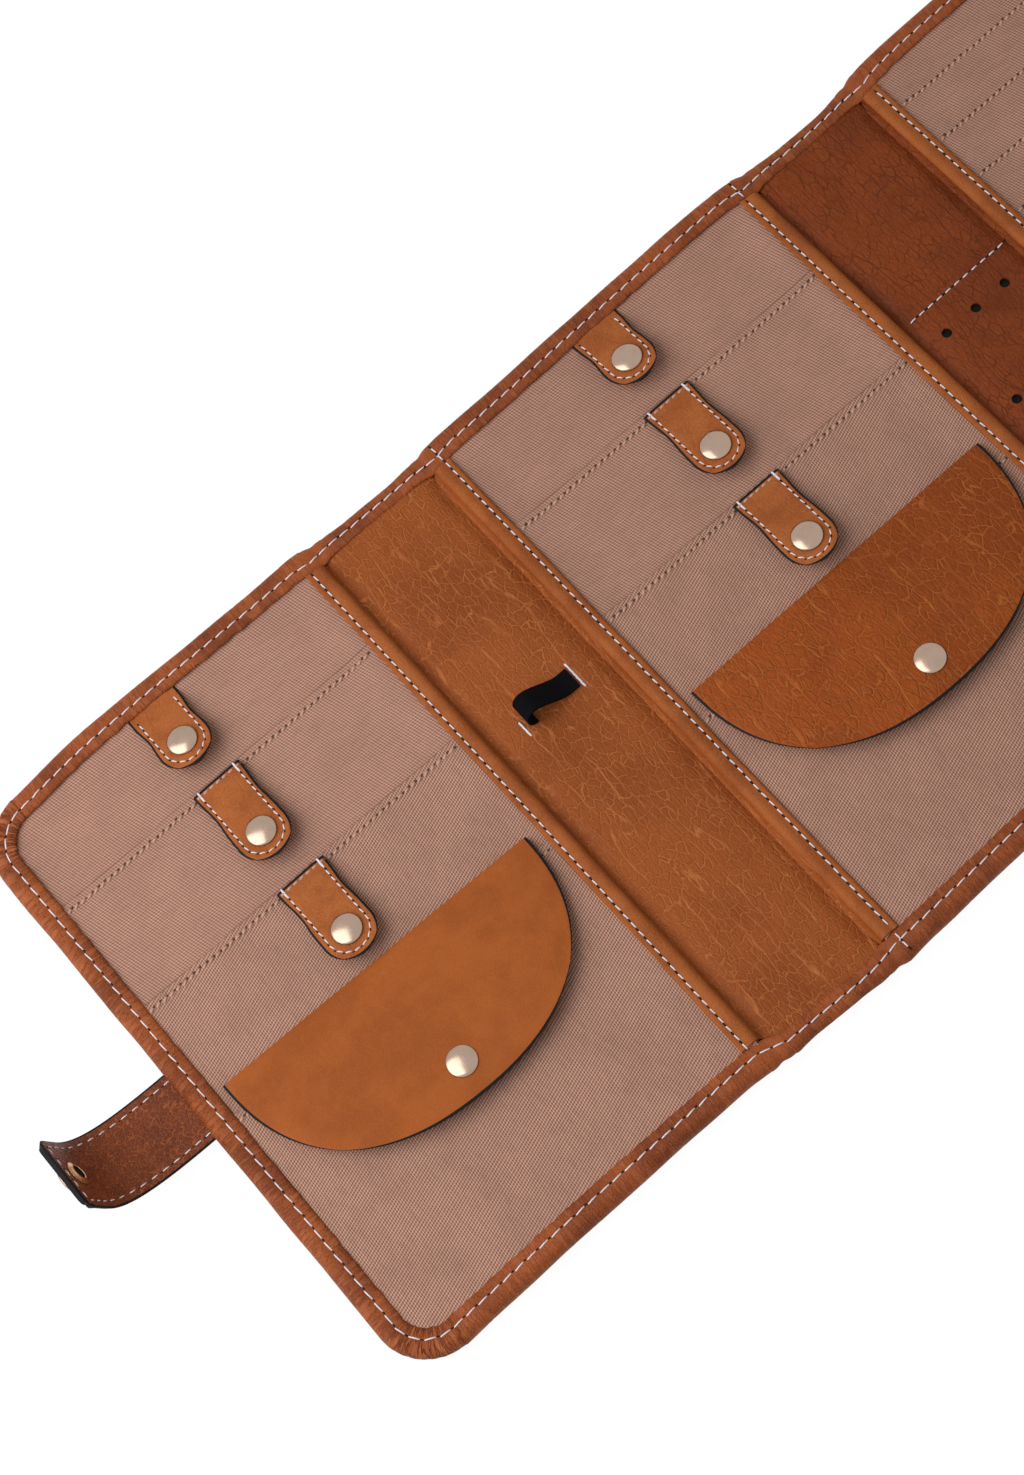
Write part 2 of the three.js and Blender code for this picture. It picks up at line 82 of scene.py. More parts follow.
@dataclass(frozen=True)
class CaseSizes:
    """Sizes of the case in millimetres, as in the part's source."""

    half: float = 112.0
    spine_half: float = 110.0
    inner_crease: float = 68.6
    outer_crease: float = 112.2
    left_edge: float = -251.0
    right_edge: float = 230.2
    corner: float = 18.0
    binding_width: float = 8.7
    binding_stitch: float = 5.4
    panel_top: float = 7.3
    cover_top: float = 1.6
    lining_top: float = 4.1
    upper_top: float = 4.75
    centre_top: float = 5.4
    lower_top: float = 6.05
    canvas: float = 0.45
    spine_low: float = 1.35
    spine_high: float = 5.8
    spine_cover_low: float = 2.4
    spine_cover_top: float = 3.6
    spine_top: float = 4.75
    crease_height: float = 4.8
    upper_seam: float = 69.05
    centre_seam: float = 27.1
    hem: float = 2.6
    flap_line: float = -7.75
    flap_to_mouth: float = 7.0
    crease_reach: float = 4.0
    strap_y: float = -1.8
    ply_gap: float = 0.15
    sheet_inset: float = 1.4
    sheet_gap: float = 2.0

    @property
    def lip_line(self) -> float:
        """Where the inner edge of a binding lies."""
        return self.half - self.binding_width

    @property
    def cover_edge(self) -> float:
        """Where the leather inside a binding ends."""
        return self.lip_line - self.ply_gap

    @property
    def stitch_line(self) -> float:
        """Where the stitches of a binding lie."""
        return self.half - self.binding_stitch


SIZES = CaseSizes()
ENDS = ((1, "top"), (-1, "bottom"))

# How far the handmade edges stray along Y, in millimetres, at places along X
TOP_STRAY = ((-251, -1.2), (-200, 1.9), (-125, 0.4), (-60, -0.5), (45, 1.3), (88, 0.2), (146, 2.8))
BOTTOM_STRAY = ((-251, 1.2), (-170, 2.3), (-114, 2.2), (-106, -0.9), (-76, -1.9), (-66, -0.4), (0, 1.2))
# How far the top edge is drawn in at a crease, and how far along X that reaches
TUCK, TUCK_REACH = 1.0, 5.0
# Where canvas starts to follow the stray of the edges along Y, and where it follows wholly
FOLLOW_FROM, FOLLOW_TO = 80.0, 104.0


def at(x: float, y: float, z: float = 0.0) -> Vector:
    """A point given in millimetres, in Blender's metres."""
    return Vector((x, y, z)) * MM


def ramp(low: float, high: float, value: float) -> float:
    """A smooth step from 0 at low to 1 at high."""
    share = min(1.0, max(0.0, (value - low) / (high - low)))
    return share * share * (3 - 2 * share)


def bump(centre: float, width: float, value: float) -> float:
    """A rounded hump of height 1 at centre."""
    return math.exp(-(((value - centre) / width) ** 2))


def drift(x: float, y: float, size: float, seed: float) -> float:
    """Smooth noise between about -1 and 1.

    Args:
        x: First coordinate in millimetres.
        y: Second coordinate in millimetres.
        size: Size of one swell in millimetres.
        seed: Picks one of many patterns.

    Returns:
        The noise at that place.
    """
    return noise.noise(Vector((x / size, y / size, seed)))


def between(marks: Sequence[Spot], x: float) -> float:
    """A value that runs smoothly from mark to mark along X."""
    for (start, first), (end, second) in zip(marks, marks[1:]):
        if x <= end:
            return first + (second - first) * ramp(start, end, x)
    return marks[-1][1]


def stray(x: float, y: float) -> float:
    """How far the handmade case strays along Y from its straight lines."""
    share = (y + SIZES.half) / (2 * SIZES.half)
    ends = (SIZES.inner_crease - TUCK_REACH / 2, SIZES.outer_crease + TUCK_REACH / 2)
    tuck = TUCK * max(bump(end, TUCK_REACH, abs(x)) for end in ends)
    return between(BOTTOM_STRAY, x) * (1 - share) + (between(TOP_STRAY, x) - tuck) * share


def tucked(x: float, y: float) -> float:
    """A canvas's place along Y, whose ends follow the stray of the edges."""
    return y + stray(x, y) * ramp(FOLLOW_FROM, FOLLOW_TO, abs(y))


def reshape(piece: Piece, move: Move) -> None:
    """Moves every vertex of a piece.

    Args:
        piece: The mesh object.
        move: Takes and gives a place in millimetres.
    """
    for vertex in piece.data.vertices:
        vertex.co = at(*move(*(vertex.co / MM)))
    piece.data.update()


class Bench:
    """Blender's modelling operators, picked up one at a time."""

    RIM_ANGLE = 55

    @staticmethod
    def clear() -> None:
        """Leaves edit mode and deselects everything."""
        if bpy.context.mode != "OBJECT":
            bpy.ops.object.mode_set(mode="OBJECT")
        bpy.ops.object.select_all(action="DESELECT")

    @classmethod
    def take(cls, piece: Piece) -> None:
        """Makes a piece the only selected one."""
        cls.clear()
        piece.select_set(True)
        bpy.context.view_layer.objects.active = piece

    @staticmethod
    def put_down(name: str) -> Piece:
        """Leaves edit mode and names the piece in hand."""
        bpy.ops.object.mode_set(mode="OBJECT")
        piece = bpy.context.object
        piece.name = name
        piece.data.name = name
        return piece

    @classmethod
    def grid(cls, name: str, low: Vector, high: Vector, cell: Spot) -> Piece:
        """Adds a flat grid.

        Args:
            name: The piece's name.
            low: Lowest corner in metres.
            high: Highest corner in metres, at the same height.
            cell: About the width and length of one cell in millimetres.

        Returns:
            The new piece.
        """
        cls.clear()
        size = high - low
        columns, rows = (max(1, round(size[axis] / MM / cell[axis])) for axis in range(2))
        bpy.ops.mesh.primitive_grid_add(
            x_subdivisions=columns, y_subdivisions=rows, size=1, enter_editmode=True, location=(0, 0, 0)
        )
        bpy.ops.transform.resize(value=(size.x, size.y, 1))
        bpy.ops.transform.translate(value=(low + high) / 2)
        return cls.put_down(name)

    @classmethod
    def draw(cls, points: Sequence[Vector], closed: bool = True) -> None:
        """Draws a line by extruding a vertex from point to point, and stays in edit mode.

        Args:
            points: The line's points in metres.
            closed: Whether the line returns to its start.
        """
        cls.clear()
        bpy.ops.mesh.primitive_plane_add(size=MM, enter_editmode=True, location=(0, 0, 0))
        bpy.ops.mesh.select_mode(type="VERT")
        bpy.ops.mesh.select_all(action="SELECT")
        bpy.ops.mesh.merge(type="CENTER")
        bpy.ops.transform.translate(value=points[0])
        line = [*points, points[0]] if closed else list(points)
        for start, end in zip(line, line[1:]):
            bpy.ops.mesh.extrude_vertices_move(TRANSFORM_OT_translate={"value": end - start})
        bpy.ops.mesh.select_all(action="SELECT")
        bpy.ops.mesh.remove_doubles(threshold=MM * MM)
        bpy.ops.mesh.select_all(action="SELECT")

    @staticmethod
    def push(offset: Vector) -> None:
        """Extrudes the selected line."""
        bpy.ops.mesh.extrude_region_move(TRANSFORM_OT_translate={"value": offset})

    @staticmethod
    def spin(centre: Vector, degrees: float, steps: int) -> None:
        """Turns the selected line about an upright axis, counterclockwise."""
        bpy.ops.mesh.spin(steps=steps, angle=-math.radians(degrees), center=centre, axis=(0, 0, 1))

    @classmethod
    def close(cls, name: str) -> Piece:
        """Merges doubles, fills open ends and turns faces outwards."""
        bpy.ops.mesh.select_all(action="SELECT")
        bpy.ops.mesh.remove_doubles(threshold=MM * MM)
        bpy.ops.mesh.select_all(action="SELECT")
        bpy.ops.mesh.fill_holes(sides=0)
        bpy.ops.mesh.select_all(action="SELECT")
        bpy.ops.mesh.normals_make_consistent(inside=False)
        return cls.put_down(name)

    @classmethod
    def slice(cls, piece: Piece, axis: int, step: float) -> None:
        """Cuts the long edges along one axis into steps.

        Args:
            piece: The swept piece.
            axis: 0 for X, 1 for Y.
            step: Length of a step in millimetres.
        """
        cls.take(piece)
        bpy.ops.object.mode_set(mode="EDIT")
        bpy.ops.mesh.select_mode(type="EDGE")
        bpy.ops.mesh.select_all(action="DESELECT")
        bpy.ops.object.mode_set(mode="OBJECT")
        points = piece.data.vertices
        ends = [[points[number].co[axis] for number in edge.vertices] for edge in piece.data.edges]
        spans = [abs(last - first) for first, last in ends]
        longest = max(spans)
        for edge, span in zip(piece.data.edges, spans):
            edge.select = span > longest / 2
        bpy.ops.object.mode_set(mode="EDIT")
        bpy.ops.mesh.subdivide(number_cuts=max(1, round(longest / MM / step) - 1))
        bpy.ops.mesh.select_mode(type="VERT")
        bpy.ops.object.mode_set(mode="OBJECT")

    @classmethod
    def sweep(cls, name: str, section: Sequence[Vector], offset: Vector, step: float) -> Piece:
        """Sweeps a closed section straight and cuts it into steps."""
        cls.draw(section)
        cls.push(offset)
        piece = cls.close(name)
        cls.slice(piece, max(range(2), key=lambda axis: abs(offset[axis])), step)
        return piece

    @classmethod
    def lathe(cls, name: str, profile: Sequence[Spot], steps: int = 40) -> Piece:
        """Turns a profile of radius and height pairs, in millimetres, about Z."""
        cls.draw([at(radius, 0, height) for radius, height in profile], closed=False)
        bpy.ops.mesh.spin(steps=steps, angle=2 * math.pi, center=(0, 0, 0), axis=(0, 0, 1))
        return cls.close(name)

    @classmethod
    def modify(cls, piece: Piece, kind: str, **settings: object) -> None:
        """Adds a modifier, sets it and applies it."""
        cls.take(piece)
        bpy.ops.object.modifier_add(type=kind)
        modifier = piece.modifiers[-1]
        for key, value in settings.items():
            setattr(modifier, key, value)
        bpy.ops.object.modifier_apply(modifier=modifier.name)

    @classmethod
    def thicken(cls, piece: Piece, thickness: float, edge: float) -> None:
        """Gives a sheet thickness below its face and rounds its rim."""
        cls.modify(piece, "SOLIDIFY", thickness=thickness * MM, offset=-1)
        angle = math.radians(cls.RIM_ANGLE)
        cls.modify(piece, "BEVEL", width=edge * MM, segments=2, limit_method="ANGLE", angle_limit=angle)

    @staticmethod
    def paint(piece: Piece, rim: set[int]) -> None:
        """Gives the faces at a rim the piece's second finish."""
        for face in piece.data.polygons:
            face.material_index = int(any(number in rim for number in face.vertices))

    @staticmethod
    def find(piece: Piece, test: Callable[[float, float, float], bool]) -> set[int]:
        """The vertices whose place, in millimetres, passes a test."""
        return {vertex.index for vertex in piece.data.vertices if test(*(vertex.co / MM))}

    @classmethod
    def soften(cls, piece: Piece, degrees: float = 60) -> None:
        """Shades a piece smooth apart from its sharp edges."""
        cls.take(piece)
        bpy.ops.object.shade_smooth_by_angle(angle=math.radians(degrees))

    @classmethod
    def join(cls, name: str, pieces: Sequence[Piece]) -> Piece:
        """Joins pieces into one."""
        cls.take(pieces[0])
        for piece in pieces:
            piece.select_set(True)
        bpy.ops.object.join()
        return cls.put_down(name)

    @staticmethod
    def copy(name: str, mesh: bpy.types.Mesh, place: Matrix) -> Piece:
        """Puts a copy of a modelled mesh somewhere, with the place in its mesh."""
        own = mesh.copy()
        own.transform(place)
        piece = bpy.data.objects.new(name, own)
        bpy.context.scene.collection.objects.link(piece)
        return piece

    @classmethod
    def keep_mesh(cls, piece: Piece) -> bpy.types.Mesh:
        """Takes a model's mesh for copying and clears the model away."""
        cls.clear()
        mesh = piece.data
        bpy.data.objects.remove(piece)
        return mesh


class Recipe:
    """Wires one procedural material on Object coordinates."""

    def __init__(self, name: str) -> None:
        """Starts a material with its shader."""
        self.material = bpy.data.materials.new(FINISH_PREFIX + name)
        self.material.use_nodes = True
        self.tree = self.material.node_tree
        self.shader = self.tree.nodes["Principled BSDF"]
        self.place = self.add("ShaderNodeTexCoord").outputs["Object"]

    def feed(self, socket: Socket, value: object) -> None:
        """Links or sets one input."""
        if isinstance(value, Socket):
            self.tree.links.new(value, socket)
        elif socket.type == "RGBA":
            socket.default_value = (*value, 1.0)
        else:
            socket.default_value = value

    def add(self, kind: str, inputs: dict | None = None, **settings: object) -> bpy.types.Node:
        """Adds a node.

        Args:
            kind: Blender's name of the node.
            inputs: Values or sockets by input name or number.
            settings: Attributes of the node.

        Returns:
            The node.
        """
        node = self.tree.nodes.new(kind)
        for key, value in settings.items():
            setattr(node, key, value)
        for key, value in (inputs or {}).items():
            self.feed(node.inputs[key], value)
        return node

    def set(self, **inputs: object) -> None:
        """Sets the shader's inputs, with underscores for spaces."""
        for key, value in inputs.items():
            self.feed(self.shader.inputs[key.replace("_", " ")], value)

    def scaled(self, vector: Socket, scale: Triple, turn: float = 0.0) -> Socket:
        """Coordinates stretched by a scale and turned about Z in degrees."""
        inputs = {"Vector": vector, "Scale": scale, "Rotation": (0, 0, math.radians(turn))}
        return self.add("ShaderNodeMapping", inputs).outputs["Vector"]

    def noise(self, vector: Socket, size: float, detail: float = 3.0, rough: float = 0.5) -> bpy.types.Node:
        """Noise with swells of a size in millimetres."""
        inputs = {"Vector": vector, "Scale": 1 / (size * MM), "Detail": detail, "Roughness": rough}
        return self.add("ShaderNodeTexNoise", inputs)

    def cells(self, vector: Socket, size: float) -> Socket:
        """Distance to the borders of cells of a size in millimetres."""
        inputs = {"Vector": vector, "Scale": 1 / (size * MM)}
        node = self.add("ShaderNodeTexVoronoi", inputs, feature="DISTANCE_TO_EDGE")
        return node.outputs["Distance"]

    def bent(self, vector: Socket, size: float, amount: float) -> Socket:
        """Coordinates pushed about by noise, both in millimetres."""
        shift = self.noise(vector, size, 2.0).outputs["Color"]
        inputs = {0: shift, 1: (amount * MM,) * 3, 2: vector}
        return self.add("ShaderNodeVectorMath", inputs, operation="MULTIPLY_ADD").outputs[0]

    def span(
        self, value: Socket, low: float, high: float, start: float = 0.0, end: float = 1.0
    ) -> Socket:
        """Maps a value smoothly from low and high to start and end."""
        inputs = {"Value": value, "From Min": low, "From Max": high, "To Min": start, "To Max": end}
        node = self.add("ShaderNodeMapRange", inputs, interpolation_type="SMOOTHSTEP")
        return node.outputs["Result"]

    def maths(self, operation: str, *values: object) -> Socket:
        """One sum on values or sockets."""
        return self.add("ShaderNodeMath", dict(enumerate(values)), operation=operation).outputs[0]

    def mix(self, share: object, first: object, second: object) -> Socket:
        """Mixes two colours."""
        node = self.add("ShaderNodeMix", {0: share}, data_type="RGBA")
        self.feed(node.inputs[6], first)
        self.feed(node.inputs[7], second)
        return node.outputs[2]

    def relief(self, height: Socket, depth: float, under: Socket | None = None) -> Socket:
        """A bump of a depth in millimetres, over another one."""
        inputs = {"Height": height, "Distance": depth * MM}
        if under is not None:
            inputs["Normal"] = under
        return self.add("ShaderNodeBump", inputs).outputs["Normal"]


@dataclass(frozen=True)
class Leather:
    """A leather finish, with the sizes of its markings in millimetres."""

    name: str
    base: Colour
    deep: Colour
    pale: Colour
    cloud: float = 26.0
    crease: float = 7.0
    stretch: Triple = (1.0, 1.0, 1.0)
    crease_show: float = 0.35
    crease_depth: float = 0.10
    crease_line: float = 0.05
    crease_floor: float = 0.15
    flank_shade: float = 0.0
    wrinkle: float = 0.0
    dark_creases: bool = False
    folds: bool = False
    pebble: float = 1.5
    pebble_show: float = 0.22
    pebble_depth: float = 0.10
    nap: float = 0.25
    roughness: float = 0.5
    gloss: float = 0.1

    def make(self) -> bpy.types.Material:
        """Wires clouds of colour, creases with painted highlight and shade, pebbles, a fine nap and painted
        shade and highlight on folds.
        """
        mix = Recipe(self.name)
        cloud = mix.noise(mix.place, self.cloud, 4.0, 0.6).outputs["Fac"]
        patch = mix.noise(mix.place, self.cloud / 5, 3.0).outputs["Fac"]
        nap = mix.noise(mix.place, 0.45, 3.0, 0.7).outputs["Fac"]
        bent = mix.bent(mix.scaled(mix.place, self.stretch), self.crease * 1.3, self.crease * 0.5)
        cells = mix.cells(bent, self.crease)
        crack = mix.span(cells, 0.0, self.crease_line, 1.0, 0.0)
        strength = mix.span(patch, 0.38, 0.62, self.crease_floor, 1.0)
        fading = mix.maths("MULTIPLY", crack, strength)
        if self.wrinkle:
            fading = mix.maths("MAXIMUM", fading, self.wrinkles(mix))
        pebble_place = mix.bent(mix.scaled(mix.place, self.stretch), self.pebble * 2, self.pebble)
        pebble = mix.span(mix.cells(pebble_place, self.pebble), 0.0, 0.3)

        colour = mix.mix(mix.span(cloud, 0.38, 0.68), self.base, self.deep)
        colour = mix.mix(mix.span(patch, 0.45, 0.85, 0.0, 0.16), colour, self.pale)
        colour = mix.mix(mix.span(pebble, 0.0, 1.0, self.pebble_show, 0.0), colour, self.deep)
        colour = mix.mix(mix.span(nap, 0.35, 0.75, 0.0, self.nap), colour, self.pale)
        colour = mix.mix(mix.span(nap, 0.55, 0.25, 0.0, self.nap), colour, self.deep)
        # Painted shade on the flanks beside each crease line.
        if self.flank_shade:
            beside = mix.span(cells, 0.0, self.crease_line * FLANK_SHADE_REACH, self.flank_shade, 0.0)
            colour = mix.mix(mix.maths("MULTIPLY", beside, strength), colour, self.deep)
        # The pale crease lines are partly the grain's own pale cracks and partly a painted highlight on
        # raised grain; the deep ones are partly painted shade in the cracks.
        lines = self.deep if self.dark_creases else self.pale
        colour = mix.mix(mix.maths("MULTIPLY", fading, self.crease_show), colour, lines)
        # Painted shade in the grooves of the binding's wrinkles and painted highlight on their crests,
        # weighted by the fold attribute.
        if self.folds:
            gather = mix.add("ShaderNodeAttribute", attribute_name=FOLD_SHADE_ATTRIBUTE).outputs["Fac"]
            strip = mix.add("ShaderNodeAttribute", attribute_name=STRIP_ATTRIBUTE).outputs["Vector"]
            ripple = mix.noise(mix.scaled(strip, (1, 0.16, 1)), 1.5, 3.0, 0.55).outputs["Fac"]
            groove = mix.span(mix.maths("ABSOLUTE", mix.maths("SUBTRACT", ripple, 0.48)), 0.0, 0.06, 1.0, 0.0)
            colour = mix.mix(mix.maths("MULTIPLY", groove, gather), colour, self.deep)
            crest_highlight = mix.maths("MULTIPLY", mix.span(ripple, 0.5, 0.7, 0.0, 0.6), gather)
            colour = mix.mix(crest_highlight, colour, self.pale)

        normal = mix.relief(pebble, self.pebble_depth)
        normal = mix.relief(mix.maths("SUBTRACT", 1.0, fading), self.crease_depth, normal)
        normal = mix.relief(nap, 0.05, normal)
        if self.folds:
            swollen = mix.maths("MULTIPLY_ADD", groove, -0.4, ripple)
            normal = mix.relief(mix.maths("MULTIPLY", swollen, gather), 0.7, normal)
        rough = mix.span(patch, 0.3, 0.7, self.roughness - 0.08, self.roughness + 0.1)
        mix.set(Base_Color=colour, Roughness=rough, Normal=normal, Specular_IOR_Level=self.gloss)
        return mix.material

    def wrinkles(self, mix: Recipe) -> Socket:
        """Long wavering wrinkles along Y that come and go."""
        drawn = mix.scaled(mix.place, WRINKLE_STRETCH)
        swayed = mix.bent(drawn, self.wrinkle * 2.2, self.wrinkle * 3.0)
        swayed = mix.bent(swayed, self.wrinkle * 0.5, self.wrinkle * 0.6)
        turns = {0: swayed, 1: (math.pi / (self.wrinkle * MM), 0, 0)}
        phase = mix.add("ShaderNodeVectorMath", turns, operation="DOT_PRODUCT").outputs["Value"]
        ridge = mix.span(mix.maths("ABSOLUTE", mix.maths("SINE", phase)), 0.0, 0.28, 1.0, 0.0)
        broken = mix.noise(drawn, self.wrinkle * 1.6, 2.0).outputs["Fac"]
        return mix.maths("MULTIPLY", ridge, mix.span(broken, 0.36, 0.58))


@dataclass(frozen=True)
class Canvas:
    """A twill canvas; its diagonal and its weft are given as threads per millimetre along X and Y."""

    name: str
    light: Colour
    dark: Colour
    diagonal: Spot
    weft: Spot
    slubs: Triple

    def make(self) -> bpy.types.Material:
        """Wires the twill as two waves that meet on its floats."""
        mix = Recipe(self.name)
        place = mix.bent(mix.place, 9.0, 0.35)
        waves = []
        for across, along in (self.diagonal, self.weft):
            turns = 2 * math.pi / MM
            inputs = {0: place, 1: (across * turns, along * turns, 0)}
            dot = mix.add("ShaderNodeVectorMath", inputs, operation="DOT_PRODUCT").outputs["Value"]
            waves.append(mix.maths("COSINE", dot))
        float_height = mix.maths("MULTIPLY_ADD", waves[1], 0.85, waves[0])
        thread = mix.noise(mix.scaled(mix.place, self.slubs), 0.6, 2.0).outputs["Fac"]
        slub = mix.noise(mix.place, 14.0, 4.0).outputs["Fac"]
        light = mix.mix(mix.span(slub, 0.35, 0.7, 0.0, 0.16), self.light, self.dark)
        light = mix.mix(mix.span(thread, 0.4, 0.7, 0.0, 0.22), light, self.dark)
        # Floats take the light colour and the hollows between them the dark one: painted shade in the weave's
        # hollows.
        colour = mix.mix(mix.span(float_height, -1.9, 1.7), self.dark, light)
        normal = mix.relief(float_height, 0.05)
        mix.set(Base_Color=colour, Roughness=0.9, Normal=normal, Specular_IOR_Level=0.1)
        return mix.material


@dataclass(frozen=True)
class Thread:
    """A twisted sewing thread."""

    name: str
    colour: Colour
    shade: Colour

    def make(self) -> bpy.types.Material:
        """Wires the ply's fine diagonal twist."""
        mix = Recipe(self.name)
        fibre = mix.noise(mix.scaled(mix.place, (1, 1, 1), 35), 0.22, 2.0).outputs["Fac"]
        soil = mix.noise(mix.place, 6.0, 2.0).outputs["Fac"]
        # The twist's grooves take the shade colour as painted shade; soil darkens towards it at random.
        colour = mix.mix(mix.span(fibre, 0.3, 0.7, 0.45, 0.0), self.colour, self.shade)
        colour = mix.mix(mix.span(soil, 0.5, 0.8, 0.0, 0.3), colour, self.shade)
        mix.set(Base_Color=colour, Roughness=0.7, Normal=mix.relief(fibre, 0.06))
        return mix.material


@dataclass(frozen=True)
class EdgePaint:
    """Dark paint on cut leather edges, also wired as painted shade inside holes."""

    name: str
    colour: Colour
    worn: Colour

    def make(self) -> bpy.types.Material:
        """Wires a waxy dark coat with worn fibres."""
        mix = Recipe(self.name)
        fibre = mix.noise(mix.place, 0.7, 4.0, 0.65).outputs["Fac"]
        colour = mix.mix(mix.span(fibre, 0.5, 0.85, 0.0, 0.6), self.colour, self.worn)
        rough = mix.span(fibre, 0.3, 0.7, 0.45, 0.7)
        mix.set(Base_Color=colour, Roughness=rough, Normal=mix.relief(fibre, 0.12), Specular_IOR_Level=0.12)
        return mix.material


@dataclass(frozen=True)
class Webbing:
    """Ribbed elastic."""

    name: str
    colour: Colour
    pale: Colour

    def make(self) -> bpy.types.Material:
        """Wires ribs along the band and fine picks across it."""
        mix = Recipe(self.name)
        parts = mix.add("ShaderNodeSeparateXYZ", {"Vector": mix.place}).outputs
        ribs = mix.maths("SINE", mix.maths("MULTIPLY", parts["Y"], 2 * math.pi / (0.55 * MM)))
        picks = mix.maths("SINE", mix.maths("MULTIPLY", parts["X"], 2 * math.pi / (0.5 * MM)))
        height = mix.maths("ADD", ribs, mix.maths("MULTIPLY", picks, 0.4))
        # Rib tops take the pale colour: a painted highlight on the ribs.
        colour = mix.mix(mix.span(height, 0.0, 1.4), self.colour, self.pale)
        mix.set(Base_Color=colour, Roughness=0.8, Normal=mix.relief(height, 0.06), Specular_IOR_Level=0.05)
        return mix.material


@dataclass(frozen=True)
class SnapMetal:
    """A pale plated metal with a fine brushed grain."""

    name: str
    colour: Colour
    worn: Colour
    roughness: float

    def make(self) -> bpy.types.Material:
        """Wires fine scratches and faint tarnish."""
        mix = Recipe(self.name)
        grain = mix.noise(mix.scaled(mix.place, (1, 0.1, 1), 20), 0.18, 2.0).outputs["Fac"]
        cloud = mix.noise(mix.place, 3.0, 3.0).outputs["Fac"]
        colour = mix.mix(mix.span(cloud, 0.4, 0.75, 0.0, 0.35), self.colour, self.worn)
        rough = mix.span(grain, 0.3, 0.7, self.roughness - 0.06, self.roughness + 0.06)
        mix.set(Base_Color=colour, Roughness=rough, Normal=mix.relief(grain, 0.001), Metallic=1.0)
        return mix.material


DIAGONAL, WEFT = (1.06, 0.30), (0.02, 1.28)
CROSS_DIAGONAL, CROSS_WEFT = (0.36, -1.01), (1.39, 0.02)
ALONG_X, ALONG_Y = (0.12, 1.0, 1.0), (1.0, 0.12, 1.0)
ALONG_SPINE = (1.0, 0.5, 1.0)
# How far the painted shade on the flank of a crease reaches, in widths of its line
FLANK_SHADE_REACH = 3.2
WRINKLE_STRETCH = (1.0, 0.22, 1.0)


